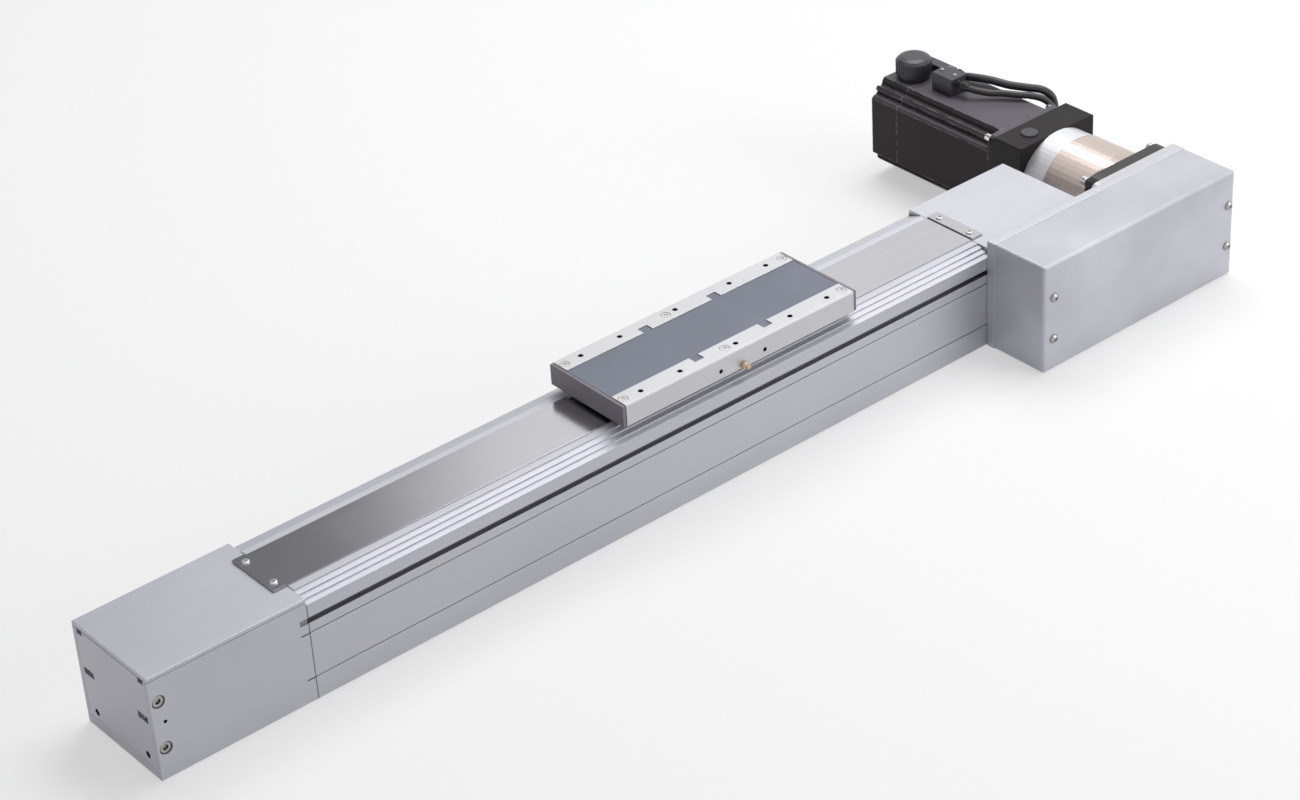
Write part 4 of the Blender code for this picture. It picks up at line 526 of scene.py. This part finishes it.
def build_finishes(colours):
    """Every finish by its name."""
    anodised = tuple(colours.anodised)
    paint = {"texture_depth": 0.00001, "wear_and_highlight_colour": (0.60, 0.60, 0.62)}
    coat = {"texture_depth": 0.00002}
    drawn = (0.02, 1, 1)
    milled = (0.05, 1, 1)
    ground = (0.1, 1, 1)
    even = {"metallic": 1.0, "grain": (1, 1, 1), "grain_scale": 1500}
    finishes = {
        "anodised": metal_finish(anodised, roughness=0.44, metallic=0.55, grain=drawn),
        "profile": metal_finish(anodised, roughness=0.50, metallic=0.50, grain=drawn, groove_painted_shade=True),
        "cover": coated_finish(
            tuple(colours.cover), roughness=0.40, texture_scale=1500, edge=0.0012, wear_and_highlight=0.25, metallic=0.25,
            **paint,
        ),
        "carriage": metal_finish(
            tuple(colours.carriage), roughness=0.38, metallic=0.45, grain=milled, grain_scale=1100
        ),
        "input_ring": turned_finish((0.78, 0.78, 0.82), roughness=0.34, metallic=0.4),
        "strip": strip_finish(tuple(colours.strip)),
        "ring": turned_finish((0.62, 0.53, 0.48), roughness=0.23),
        "ground_steel": metal_finish(
            (0.62, 0.62, 0.64), roughness=0.24, metallic=1.0, grain=ground, grain_scale=1300
        ),
        "flange": flange_finish(
            coat=(0.016, 0.014, 0.014), steel=(0.58, 0.50, 0.45), step=FLANGE_LOW.y + NECK_STEP
        ),
        "screws": metal_finish((0.40, 0.39, 0.38), roughness=0.28, edge=0.0003, **even),
        # A lighter copy of the screw steel, as painted highlight on the flanges' screws
        "screws_painted_highlight": metal_finish((0.80, 0.79, 0.78), roughness=0.22, edge=0.0003, **even),
        "sleeves": metal_finish((0.50, 0.49, 0.48), roughness=0.30, edge=0.0002, **even),
        "table": coated_finish(
            tuple(colours.table), roughness=0.42, texture_scale=1800, edge=0.0005, wear_and_highlight=0.3, metallic=0.1,
            **paint,
        ),
        "end_caps": coated_finish(
            (0.200, 0.178, 0.210), roughness=0.45, texture_scale=1400, edge=0.0006,
            wear_and_highlight_colour=(0.2, 0.19, 0.2), wear_and_highlight=0.4, **coat,
        ),
        "plastic": coated_finish(
            (0.040, 0.038, 0.050), roughness=0.36, texture_scale=1300, edge=0.0006,
            wear_and_highlight_colour=(0.1, 0.1, 0.1), wear_and_highlight=0.3, **coat,
        ),
        # The motor's light lines along its ribs are painted highlight, and its lighter top faces are partly
        # painted light
        "motor": coated_finish(
            tuple(colours.motor), roughness=0.36, texture_scale=1200, edge=0.0012,
            wear_and_highlight_colour=(0.60, 0.58, 0.62), wear_and_highlight=1.0, shine=0.12, dust_and_top_light=(0.140, 0.124, 0.150), **coat,
        ),
        "adapter": coated_finish(
            (0.008, 0.006, 0.006), roughness=0.45, texture_scale=1200, edge=0.0008,
            wear_and_highlight_colour=(0.10, 0.09, 0.09), wear_and_highlight=0.3, shine=0.2, **coat,
        ),
        "rubber": rubber_finish((0.020, 0.020, 0.023), roughness=0.38),
        "brass": metal_finish((0.52, 0.41, 0.30), roughness=0.30, edge=0.0003, **even),
        # Painted shade: the near-black of the cups and rings put in holes, bores and sockets
        "hole": rubber_finish((0.028, 0.027, 0.030), roughness=0.60),
    }
    for name, finish in finishes.items():
        finish.name = name
    return finishes


def find_finish(name):
    """A finish that the finishes operator has made."""
    material = bpy.data.materials.get(name)
    if material is None:
        raise RuntimeError(f"The finish {name} isn't made yet")
    return material


def finish_piece(obj, material):
    """Puts one material in all of a piece's slots."""
    if not obj.data.materials:
        obj.data.materials.append(material)
    for slot in obj.material_slots:
        slot.material = material


def new_piece(name, bm, body, material, smooth_below=40):
    """Makes a mesh object of a bmesh, finished and riding on a body."""
    if not bm.faces:
        raise RuntimeError(f"{name} has no faces")
    bmesh.ops.recalc_face_normals(bm, faces=bm.faces)
    mesh = bpy.data.meshes.new(name)
    bm.to_mesh(mesh)
    bm.free()
    mesh.shade_smooth()
    mesh.set_sharp_from_angle(angle=math.radians(smooth_below))
    piece = bpy.data.objects.new(name, mesh)
    bpy.context.scene.collection.objects.link(piece)
    finish_piece(piece, find_finish(material))
    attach(piece, body)
    return piece


# Turns +Z to the direction named
FACING = {
    "+X": Matrix.Rotation(math.radians(90), 4, "Y"),
    "-X": Matrix.Rotation(math.radians(-90), 4, "Y"),
    "+Y": Matrix.Rotation(math.radians(-90), 4, "X"),
    "-Y": Matrix.Rotation(math.radians(90), 4, "X"),
    "+Z": Matrix.Identity(4),
}


def merge_into(bm, piece):
    """Adds a bmesh to another and frees it."""
    mesh = bpy.data.meshes.new("merged")
    piece.to_mesh(mesh)
    piece.free()
    bm.from_mesh(mesh)
    bpy.data.meshes.remove(mesh)


def add_turned(bm, place, facing, profile, sides=28, finish_shape=None):
    """Adds a turned shape, from its profile of (radius, height) points, with its axis at a place."""
    turned = bmesh.new()
    corners = [turned.verts.new((radius, 0, height)) for radius, height in profile]
    edges = [turned.edges.new(pair) for pair in zip(corners, corners[1:])]
    bmesh.ops.spin(
        turned,
        geom=corners + edges,
        cent=(0, 0, 0),
        axis=(0, 0, 1),
        angle=math.tau,
        steps=sides,
        use_merge=True,
        use_duplicate=False,
    )
    bmesh.ops.remove_doubles(turned, verts=turned.verts, dist=0.000001)
    if finish_shape:
        finish_shape(turned)
    bmesh.ops.recalc_face_normals(turned, faces=turned.faces)
    bmesh.ops.transform(turned, matrix=Matrix.Translation(Vector(place)) @ FACING[facing], verts=turned.verts)
    merge_into(bm, turned)


def add_screw(bm, place, facing, diameter, height, socket, sides=28):
    """Adds a screw head with a rounded rim and a hexagonal socket."""
    radius = diameter / 2
    edge = height * 0.2
    depth = height * 0.6
    shoulder = (radius - edge * 0.4, height - edge * 0.3)
    lip = socket * 0.64
    floor = socket * 0.48
    profile = [(0, 0), (radius, 0), (radius, height - edge), shoulder, (radius - edge, height), (lip, height)]

    def sink_socket(head):
        well = bmesh.ops.create_cone(
            head, cap_ends=True, segments=6, radius1=floor, radius2=socket / 2, depth=depth
        )["verts"]
        bmesh.ops.translate(head, verts=well, vec=(0, 0, height - depth / 2))
        hexagons = [face for face in head.faces if len(face.verts) == 6]
        lid = [face for face in hexagons if face.calc_center_median().z > height * 0.9]
        if not lid:
            raise RuntimeError("A screw head has no socket to open")
        bmesh.ops.delete(head, geom=lid, context="FACES_ONLY")
        bmesh.ops.bridge_loops(head, edges=[each for each in head.edges if each.is_boundary])

    add_turned(bm, place, facing, profile, sides, sink_socket)


def add_ring(bm, place, facing, inner, outer, low, high):
    """Adds a flat ring between two diameters and two heights."""
    profile = [(inner / 2, low), (outer / 2, low), (outer / 2, high), (inner / 2, high), (inner / 2, low)]
    add_turned(bm, place, facing, profile)


def add_shade_cup(bm, place, facing, diameter, depth, sides=20):
    """Adds a dark cup of painted shade in a hole, from just under its mouth to its floor."""
    gap = 0.00005
    wall = 0.0002
    mouth = -0.0003
    radius = diameter / 2 - gap
    inner = radius - wall
    floor = -depth + wall
    profile = [(0, -depth), (radius, -depth), (radius, mouth), (inner, mouth), (inner, floor), (0, floor)]
    add_turned(bm, place, facing, profile, sides)


def add_block(bm, low, high, edge):
    """Adds a block between two corners, with its edges bevelled."""
    low, high = Vector(low), Vector(high)
    verts = bmesh.ops.create_cube(bm, size=1.0)["verts"]
    bmesh.ops.scale(bm, vec=high - low, verts=verts)
    bmesh.ops.translate(bm, vec=(low + high) / 2, verts=verts)
    edges = list({each for vert in verts for each in vert.link_edges})
    bmesh.ops.bevel(bm, geom=edges, offset=edge, segments=2, profile=0.5, affect="EDGES", material=-1)


def smooth_route(route, parts=8):
    """Points on a smooth curve through a route's points."""
    knots = [Vector(point) + LEAD_ORIGIN for point in route]
    ends = [2 * knots[0] - knots[1]] + knots + [2 * knots[-1] - knots[-2]]
    points = []
    for before, first, second, after in zip(ends, ends[1:], ends[2:], ends[3:]):
        for part in range(parts):
            share = part / parts
            bend = (2 * before - 5 * first + 4 * second - after) * share**2
            twist = (3 * first - before - 3 * second + after) * share**3
            points.append(0.5 * (2 * first + (second - before) * share + bend + twist))
    points.append(knots[-1])
    return points


def route_length(points):
    return sum((second - first).length for first, second in zip(points, points[1:]))


def make_lead(name, route, diameter, node):
    """A lead as a smooth curve along its route, from its connector to its plug."""
    curve = bpy.data.curves.new(name, "CURVE")
    curve.dimensions = "3D"
    curve.bevel_depth = diameter / 2
    curve.bevel_resolution = 5
    curve.use_fill_caps = True
    points = smooth_route(route)
    spline = curve.splines.new("POLY")
    spline.points.add(len(points) - 1)
    for point, place in zip(spline.points, points):
        point.co = (*place, 1)
    spline.use_smooth = True
    lead = bpy.data.objects.new(name, curve)
    bpy.context.scene.collection.objects.link(lead)
    finish_piece(lead, find_finish("rubber"))
    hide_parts(node)
    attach(lead, "frame")
    route_length(points)


class STAGE_OT_studio(bpy.types.Operator):
    """Set up the camera, floor, lamps and background"""

    bl_idname = "stage.studio"
    bl_label = "Studio and camera"

    camera_place = Vector((-1.4776, -1.9017, 1.6294))
    camera_forward = Vector((0.52401, 0.66041, -0.53785))
    camera_right = Vector((0.76053, -0.64709, -0.05359))
    camera_lens = 89.77
    # The room's levels along the stage and upward: from, to, and the level at each
    room_across = (-0.9, 0.6, 0.20, 0.50)
    room_height = (0.60, 0.72, 1.06, 0.40)
    azimuths = (30, 70)
    # The window by azimuth, with its level and how much bluer than white it is
    window_levels = (
        (30.0, 0.45, 0.05),
        (43.0, 0.55, 0.15),
        (45.0, 0.70, 0.22),
        (46.0, 0.82, 0.20),
        (47.0, 1.15, 0.14),
        (48.5, 1.30, 0.08),
        (51.0, 1.22, 0.03),
        (54.3, 1.04, 0.03),
        (55.3, 0.98, 0.03),
        (56.3, 0.72, 0.02),
        (57.5, 0.36, 0.02),
        (59.0, 0.18, 0.05),
        (70.0, 0.18, 0.05),
    )
    window_edges = (3, 5)  # degrees over which it fades in and out
    window_height = (0.10, 0.30, 0.59, 0.67)
    panel_azimuths = (64, 80, 94, 114)
    panel_height = (0.73, 0.79, 0.90, 0.95)
    panel_strength = 2.8
    # The card's start, where it starts to fade and its end along the stage
    card_across = (-3.0, 0.61, 0.92)
    card_distance = 1.5
    card_height = (0.5, 1.66)
    card_colour = (0.22, 0.22, 0.23, 1)
    floor_half = 9
    floor_drop = 0.0005
    floor_colour = (0.98, 0.98, 0.98, 1)
    floor_roughness = 0.9
    floor_white = 0.48
    # Each lamp's name, place, power in watts and size
    lamps = (
        ("top_softbox", (1.3, 0.5, 2.5), 49, (2.2, 1.6)),
        ("front_fill", (1.6, -1.9, 1.0), 18, (1.4, 1.0)),
    )

    def execute(self, context):
        self.make_camera(context)
        self.make_floor(context)
        self.make_card(context)
        self.make_world(context)
        for lamp in self.lamps:
            self.make_lamp(context, *lamp)
        return {"FINISHED"}

    def make_camera(self, context):
        camera = bpy.data.objects.new("camera", bpy.data.cameras.new("camera"))
        camera.data.lens = self.camera_lens
        camera.data.sensor_width = 36
        camera.data.sensor_fit = "HORIZONTAL"
        camera.data.clip_end = 50
        back = -self.camera_forward.normalized()
        right = self.camera_right.normalized()
        up = back.cross(right)
        turn = Matrix((right, up, back)).transposed().to_4x4()
        camera.matrix_world = Matrix.Translation(self.camera_place) @ turn
        context.scene.collection.objects.link(camera)
        context.scene.camera = camera

    def make_floor(self, context):
        bm = bmesh.new()
        bmesh.ops.create_grid(bm, x_segments=1, y_segments=1, size=self.floor_half)
        bmesh.ops.translate(bm, verts=bm.verts, vec=(0, 0, -self.floor_drop))
        mesh = bpy.data.meshes.new("floor")
        bm.to_mesh(mesh)
        bm.free()
        floor = bpy.data.objects.new("floor", mesh)
        context.scene.collection.objects.link(floor)
        finish = Finish(bpy.data.materials.new("floor"))
        finish.set(Base_Color=self.floor_colour, Roughness=self.floor_roughness)
        self.whiten(finish)
        finish_piece(floor, finish.owner)

    def make_card(self, context):
        """A dark card past the object, out of the picture, which the strip's idler end mirrors."""
        start, fade, end = self.card_across
        low, high = self.card_height
        mesh = bpy.data.meshes.new("dark_card")
        corners = [(start, low), (end, low), (end, high), (start, high)]
        mesh.from_pydata([(x, self.card_distance, z) for x, z in corners], [], [(0, 1, 2, 3)])
        card = bpy.data.objects.new("dark_card", mesh)
        context.scene.collection.objects.link(card)
        finish = Finish(bpy.data.materials.new("dark_card"))
        across = finish.axes()[0]
        finish.set(Base_Color=(0, 0, 0, 1), Roughness=1.0, Specular_IOR_Level=0.0)
        finish.set(Emission_Color=self.card_colour, Emission_Strength=1.0)
        finish.set(Alpha=finish.span(across, fade, end, 1.0, 0.0))
        finish_piece(card, finish.owner)
        card.visible_camera = False
        card.visible_diffuse = False
        card.visible_shadow = False

    def whiten(self, finish):
        """Mixes a share of plain white in the floor for the rays that show the background."""
        white = finish.add("ShaderNodeEmission", {"Color": (1, 1, 1, 1), "Strength": 1.0})
        factor = finish.background_rays() * self.floor_white
        inputs = {0: factor, 1: finish.surface.outputs["BSDF"], 2: white.outputs["Emission"]}
        mix = finish.add("ShaderNodeMixShader", inputs)
        output = finish.tree.nodes["Material Output"]
        finish.feed(output.inputs["Surface"], mix.outputs["Shader"])

    def make_world(self, context):
        """White for the rays that show the background, and a room, a window and a panel for diffuse rays."""
        world = bpy.data.worlds.new("studio")
        studio = Finish(world)
        context.scene.world = world
        direction = studio.add("ShaderNodeTexCoord").outputs["Generated"]
        axes = studio.add("ShaderNodeSeparateXYZ", {"Vector": direction})
        across, deep, up = [Term(studio, socket) for socket in axes.outputs]
        turn = deep.angle_to(across)
        along = studio.span(across, *self.room_across)
        height = studio.span(up, *self.room_height)
        low, high = self.azimuths
        before, past = self.window_edges
        sweep = {"Fac": studio.span(turn, low, high)}
        ramp = studio.add("ShaderNodeValToRGB", sweep, stops=self.window_stops())
        wide = studio.between(turn, low - before, low, high, high + past)
        window = wide * studio.between(up, *self.window_height)
        panel = studio.between(turn, *self.panel_azimuths) * studio.between(up, *self.panel_height)
        room = studio.blend(window, along * height, ramp.outputs["Color"])
        lit = studio.blend(1.0, room, panel * self.panel_strength, "ADD")
        studio.set(Color=studio.blend(studio.background_rays(), lit, (1, 1, 1)), Strength=1.0)

    def window_stops(self):
        """The window's colour by azimuth, as stops of a ramp between the two ends of its span."""
        low, high = self.azimuths
        stops = []
        for turn, level, blue in self.window_levels:
            stops.append(((turn - low) / (high - low), (level, level, level * (1 + blue))))
        return stops

    def make_lamp(self, context, name, place, power, size):
        lamp = bpy.data.lights.new(name, "AREA")
        lamp.shape = "RECTANGLE"
        lamp.size, lamp.size_y = size
        lamp.energy = power
        holder = bpy.data.objects.new(name, lamp)
        holder.location = place
        holder.rotation_euler = (-Vector(place)).to_track_quat("-Z", "Y").to_euler()
        context.scene.collection.objects.link(holder)


class STAGE_OT_finishes(bpy.types.Operator):
    """Make the finishes and put them on the CAD's parts"""

    bl_idname = "stage.finishes"
    bl_label = "Finishes"

    def execute(self, context):
        finishes = build_finishes(context.scene.stage_colours)
        bare = set(NODES) - set(" ".join(FINISHED.values()).split())
        if bare:
            raise RuntimeError(f"No finish for {sorted(bare)}")
        for name, nodes in FINISHED.items():
            for node in nodes.split():
                finish_piece(NODES[node], finishes[name])
        return {"FINISHED"}


class STAGE_OT_leads(bpy.types.Operator):
    """Lay the motor's two leads"""

    bl_idname = "stage.leads"
    bl_label = "Motor leads"

    def execute(self, context):
        sizes = context.scene.stage_sizes
        make_lead("power_lead_sheath", POWER_LEAD_ROUTE, sizes.power_lead, "power_lead")
        make_lead(
            "encoder_lead_sheath", ENCODER_LEAD_ROUTE, sizes.encoder_lead, "encoder_lead"
        )
        return {"FINISHED"}


class STAGE_OT_strip(bpy.types.Operator):
    """Lay the flat cover strip and its screws"""

    bl_idname = "stage.strip"
    bl_label = "Cover strip"

    thickness = 0.0006
    edge = 0.0001
    screw_height = 0.0012
    socket_share = 0.42  # of the screw's head

    def execute(self, context):
        self.make_strip()
        self.make_screws(context.scene.stage_sizes)
        return {"FINISHED"}

    def make_strip(self):
        bm = bmesh.new()
        add_block(bm, STRIP_LOW, (STRIP_HIGH.x, STRIP_HIGH.y, STRIP_LOW.z + self.thickness), self.edge)
        strip = new_piece("flat_strip", bm, "frame", "strip", smooth_below=20)
        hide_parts("steel_strip")

    def make_screws(self, sizes):
        bm = bmesh.new()
        for low, high in ((CLAMP_LOW, CLAMP_HIGH), (FAR_CLAMP_LOW, FAR_CLAMP_HIGH)):
            for side in (-1, 1):
                place = ((low.x + high.x) / 2, side * sizes.strip_screw_spread / 2, high.z)
                socket = sizes.strip_screw * self.socket_share
                add_screw(bm, place, "+Z", sizes.strip_screw, self.screw_height, socket, sides=24)
        new_piece("strip_screws", bm, "frame", "sleeves")


class STAGE_OT_carriage(bpy.types.Operator):
    """Put dark cups of painted shade in the carriage's holes and set its dowel sleeves"""

    bl_idname = "stage.carriage"
    bl_label = "Carriage holes"

    hole_places = (-0.110, -0.065, 0, 0.065, 0.110)
    hole_spread = 0.082
    hole_depth = 0.0105
    dowel_places = (-0.129, -0.012, 0.129)
    dowel_spread = 0.080
    dowel_depth = 0.0029
    dowel_floor = 0.0008
    dowel_mouth = 0.0002
    dowel_centre = 0.0001
    dowel_bore_share = 0.5  # of the sleeve
    side_places = (-0.026, 0.026)
    side_height = 0.1142
    side_hole = 0.0045

    def execute(self, context):
        sizes = context.scene.stage_sizes
        top = BODY_HIGH.z
        near = BODY_LOW.y
        hole_shade = bmesh.new()
        sleeves = bmesh.new()
        for side in (-1, 1):
            for along in self.hole_places:
                place = (CARRIAGE_X + along, side * self.hole_spread / 2, top)
                add_shade_cup(hole_shade, place, "+Z", sizes.table_hole, self.hole_depth)
            for along in self.dowel_places:
                place = (CARRIAGE_X + along, side * self.dowel_spread / 2, top)
                bore = sizes.dowel_sleeve * self.dowel_bore_share
                add_ring(sleeves, place, "+Z", bore, sizes.dowel_sleeve, -self.dowel_depth, -self.dowel_mouth)
                add_ring(sleeves, place, "+Z", self.dowel_centre, bore, -self.dowel_depth, -self.dowel_floor)
        for along in self.side_places:
            place = (CARRIAGE_X + along, near, self.side_height)
            add_shade_cup(hole_shade, place, "-Y", self.side_hole, self.hole_depth)
        new_piece("carriage_hole_painted_shade", hole_shade, "carriage", "hole")
        new_piece("dowel_sleeves", sleeves, "carriage", "sleeves")
        return {"FINISHED"}


class STAGE_OT_end_screws(bpy.types.Operator):
    """Fit the end screws that the CAD leaves out, and put dark cups and rings of painted shade in the bores
    and small holes
    """

    bl_idname = "stage.end_screws"
    bl_label = "End screws"

    inset = 0.008
    rises = (0.030, 0.076)
    recess = 0.0010
    wall = 0.0047
    pin_inset = 0.0112
    pin_height = 0.055
    pin_hole = 0.0036
    pin_depth = 0.0038
    corner_spread = 0.076
    corner_height = 0.018
    corner_hole = 0.0068
    corner_depth = 0.0095
    ring_gap = 0.0002
    ring_top_share = 1.6  # of the recess
    socket_share = 0.6  # of the head
    socket_depth_share = 0.3  # of the head

    def execute(self, context):
        sizes = context.scene.stage_sizes
        screws = bmesh.new()
        shadows = bmesh.new()
        ends = ((IDLER_LOW.x, 1, "-X"), (DRIVE_HIGH.x, -1, "+X"))
        for face, inward, facing in ends:
            for side, outward in ((-1, "-Y"), (1, "+Y")):
                wall = side * IDLER_HIGH.y
                for height in self.rises:
                    place = (face + inward * self.inset, wall, height)
                    # The idler end's two screws on the near side are parts of the CAD
                    if side == 1 or inward == -1:
                        self.add_head(screws, place, side, outward, sizes)
                    self.shade_bore(shadows, place, side, outward, sizes)
                # Dark cups of painted shade in the pin holes and the corner holes
                pin_place = (face + inward * self.pin_inset, wall, self.pin_height)
                add_shade_cup(shadows, pin_place, outward, self.pin_hole, self.pin_depth)
                corner_place = (face, side * self.corner_spread / 2, self.corner_height)
                add_shade_cup(shadows, corner_place, facing, self.corner_hole, self.corner_depth)
        new_piece("far_end_screws", screws, "frame", "screws")
        new_piece("end_hole_painted_shade", shadows, "frame", "hole")
        return {"FINISHED"}

    def add_head(self, screws, place, side, outward, sizes):
        floor = (place[0], place[1] - side * self.wall, place[2])
        socket = sizes.end_screw * self.socket_share
        add_screw(screws, floor, outward, sizes.end_screw, self.wall - self.recess, socket)

    def shade_bore(self, shadows, place, side, outward, sizes):
        """Painted shade: a dark ring round the head in its counterbore, and a dark cup in its socket."""
        inner = sizes.end_screw + self.ring_gap
        outer = sizes.end_screw_bore - self.ring_gap
        add_ring(shadows, place, outward, inner, outer, -self.wall, -self.recess * self.ring_top_share)
        head_top = (place[0], place[1] - side * self.recess, place[2])
        socket = sizes.end_screw * self.socket_share
        depth = sizes.end_screw * self.socket_depth_share
        add_shade_cup(shadows, head_top, outward, socket, depth, sides=6)


class STAGE_OT_gearbox(bpy.types.Operator):
    """Fit the screws of the gearbox's and the motor's flanges"""

    bl_idname = "stage.gearbox"
    bl_label = "Gearbox and motor screws"

    flange_thickness = 0.0130
    flange_spread = 0.0465
    washer = 0.0030
    motor_spread = 0.0435
    cover_spread = 0.0385
    cover_screw = 0.0055
    cover_screw_height = 0.0018
    cover_socket = 0.0026
    washer_bore = 0.004
    washer_rim = 0.001
    head_share = 0.9  # of the gearbox screw's width, as its height
    socket_share = 0.5  # of a head's width

    def execute(self, context):
        sizes = context.scene.stage_sizes
        bright = bmesh.new()
        dark = bmesh.new()
        corners = [(across, rise) for across in (-1, 1) for rise in (-1, 1)]
        seat = FLANGE_LOW.y + self.flange_thickness
        for across, rise in corners:
            place = (MOTOR_X + across * self.flange_spread, seat, SHAFT_Z + rise * self.flange_spread)
            head = sizes.gearbox_screw
            add_ring(dark, place, "+Y", self.washer_bore, head + self.washer_rim, 0, self.washer)
            lifted = (place[0], seat + self.washer, place[2])
            add_screw(bright, lifted, "+Y", head, head * self.head_share, head * self.socket_share)
            place = (MOTOR_X + across * self.motor_spread, FRONT_HIGH.y, SHAFT_Z + rise * self.motor_spread)
            head = sizes.motor_screw
            add_screw(bright, place, "+Y", head, head, head * self.socket_share)
            place = (MOTOR_X + across * self.cover_spread, REAR_HIGH.y, SHAFT_Z + rise * self.cover_spread)
            add_screw(dark, place, "+Y", self.cover_screw, self.cover_screw_height, self.cover_socket)
        # The flange and motor screws take the lighter copy of screw steel: painted highlight
        new_piece("flange_screws", bright, "frame", "screws_painted_highlight")
        new_piece("cover_screws_and_washers", dark, "frame", "motor")
        return {"FINISHED"}


class STAGE_OT_connectors(bpy.types.Operator):
    """Fit the strain reliefs, the connectors' screws and the ribs of the cap"""

    bl_idname = "stage.connectors"
    bl_label = "Connectors and cap"

    relief_length = 0.0085
    relief_wall = 0.0016
    relief_gap = 0.0001
    relief_rings = 4
    relief_taper = 0.75  # of the wall, lost at the last ring
    relief_crest = 0.6  # of a ring's length
    relief_neck = 0.6  # of the wall, between the crests
    ribs = 36
    rib_width = 0.0012
    rib_rise = 0.0005
    rib_edge = 0.00025
    rib_margin = 0.2  # of the cap's height, bare below and above the ribs
    relief_seat = 0.0028  # from the lead's start
    screw_head = 0.0042
    screw_height = 0.0012
    socket = 0.0020
    power_screw_rise = 0.0083  # over the motor's top
    power_screws = (0.2, 0.9)  # along the power connector
    encoder_screws = (0.25, 0.85)  # along the encoder connector

    def execute(self, context):
        sizes = context.scene.stage_sizes
        reliefs = bmesh.new()
        for route, diameter in (
            (POWER_LEAD_ROUTE, sizes.power_lead),
            (ENCODER_LEAD_ROUTE, sizes.encoder_lead),
        ):
            self.add_relief(reliefs, Vector(route[0]) + LEAD_ORIGIN, diameter)
        new_piece("strain_reliefs", reliefs, "frame", "rubber")
        self.add_cap_ribs()
        self.add_connector_screws()
        return {"FINISHED"}

    def add_relief(self, bm, start, diameter):
        """A ribbed sleeve that tapers down to the lead."""
        inner = diameter / 2 + self.relief_gap
        rings = self.relief_rings
        profile = []
        for ring in range(rings):
            wall = self.relief_wall * (1 - self.relief_taper * ring / (rings - 1))
            low = self.relief_length * ring / rings
            middle = low + self.relief_length * self.relief_crest / rings
            top = low + self.relief_length / rings
            narrow = inner + wall * self.relief_neck
            profile += [(inner + wall, low), (inner + wall, middle), (narrow, middle), (narrow, top)]
        profile = [(inner, 0)] + profile + [(inner, self.relief_length), (inner, 0)]
        seat = (start.x, start.y - self.relief_seat, start.z)
        add_turned(bm, seat, "-Y", profile, sides=24)

    def add_cap_ribs(self):
        bm = bmesh.new()
        middle = (CAP_LOW + CAP_HIGH) / 2
        radius = (CAP_HIGH.x - CAP_LOW.x) / 2
        margin = (CAP_HIGH.z - CAP_LOW.z) * self.rib_margin
        low = CAP_LOW.z + margin
        high = CAP_HIGH.z - margin
        for rib in range(self.ribs):
            piece = bmesh.new()
            add_block(
                piece,
                (radius - self.rib_rise, -self.rib_width / 2, low),
                (radius + self.rib_rise, self.rib_width / 2, high),
                self.rib_edge,
            )
            turn = Matrix.Rotation(math.tau * rib / self.ribs, 4, "Z")
            place = Matrix.Translation((middle.x, middle.y, 0))
            bmesh.ops.transform(piece, matrix=place @ turn, verts=piece.verts)
            merge_into(bm, piece)
        new_piece("cap_ribs", bm, "frame", "plastic")

    def add_connector_screws(self):
        bm = bmesh.new()
        power_top = MOTOR_HIGH.z + self.power_screw_rise
        for low, high, top, ends in (
            (POWER_LOW, POWER_HIGH, power_top, self.power_screws),
            (ENCODER_LOW, ENCODER_HIGH, ENCODER_HIGH.z, self.encoder_screws),
        ):
            for end in ends:
                place = ((low.x + high.x) / 2, low.y + (high.y - low.y) * end, top)
                add_screw(bm, place, "+Z", self.screw_head, self.screw_height, self.socket, sides=20)
        new_piece("connector_screws", bm, "frame", "screws")


class STAGE_PT_panel(bpy.types.Panel):
    """Lists the stage's operators and settings"""

    bl_label = "Linear stage"
    bl_idname = "STAGE_PT_panel"
    bl_space_type = "VIEW_3D"
    bl_region_type = "UI"
    bl_category = "Linear stage"

    def draw(self, context):
        for operator in OPERATORS:
            self.layout.operator(operator.bl_idname)
        scene = context.scene
        for group, kind in ((scene.stage_sizes, StageSizes), (scene.stage_colours, StageColours)):
            for name in kind.__annotations__:
                self.layout.prop(group, name)


OPERATORS = (
    STAGE_OT_studio,
    STAGE_OT_finishes,
    STAGE_OT_leads,
    STAGE_OT_strip,
    STAGE_OT_carriage,
    STAGE_OT_end_screws,
    STAGE_OT_gearbox,
    STAGE_OT_connectors,
)
CLASSES = (StageSizes, StageColours, *OPERATORS, STAGE_PT_panel)


def register():
    for kind in CLASSES:
        bpy.utils.register_class(kind)
    bpy.types.Scene.stage_sizes = PointerProperty(type=StageSizes)
    bpy.types.Scene.stage_colours = PointerProperty(type=StageColours)


def unregister():
    del bpy.types.Scene.stage_colours
    del bpy.types.Scene.stage_sizes
    for kind in reversed(CLASSES):
        bpy.utils.unregister_class(kind)


def main():
    register()
    bpy.context.scene.view_settings.view_transform = "Standard"
    bpy.ops.stage.studio()
    bpy.ops.stage.finishes()
    bpy.ops.stage.leads()
    bpy.ops.stage.strip()
    bpy.ops.stage.carriage()
    bpy.ops.stage.end_screws()
    bpy.ops.stage.gearbox()
    bpy.ops.stage.connectors()


if __name__ == "__main__":
    main()
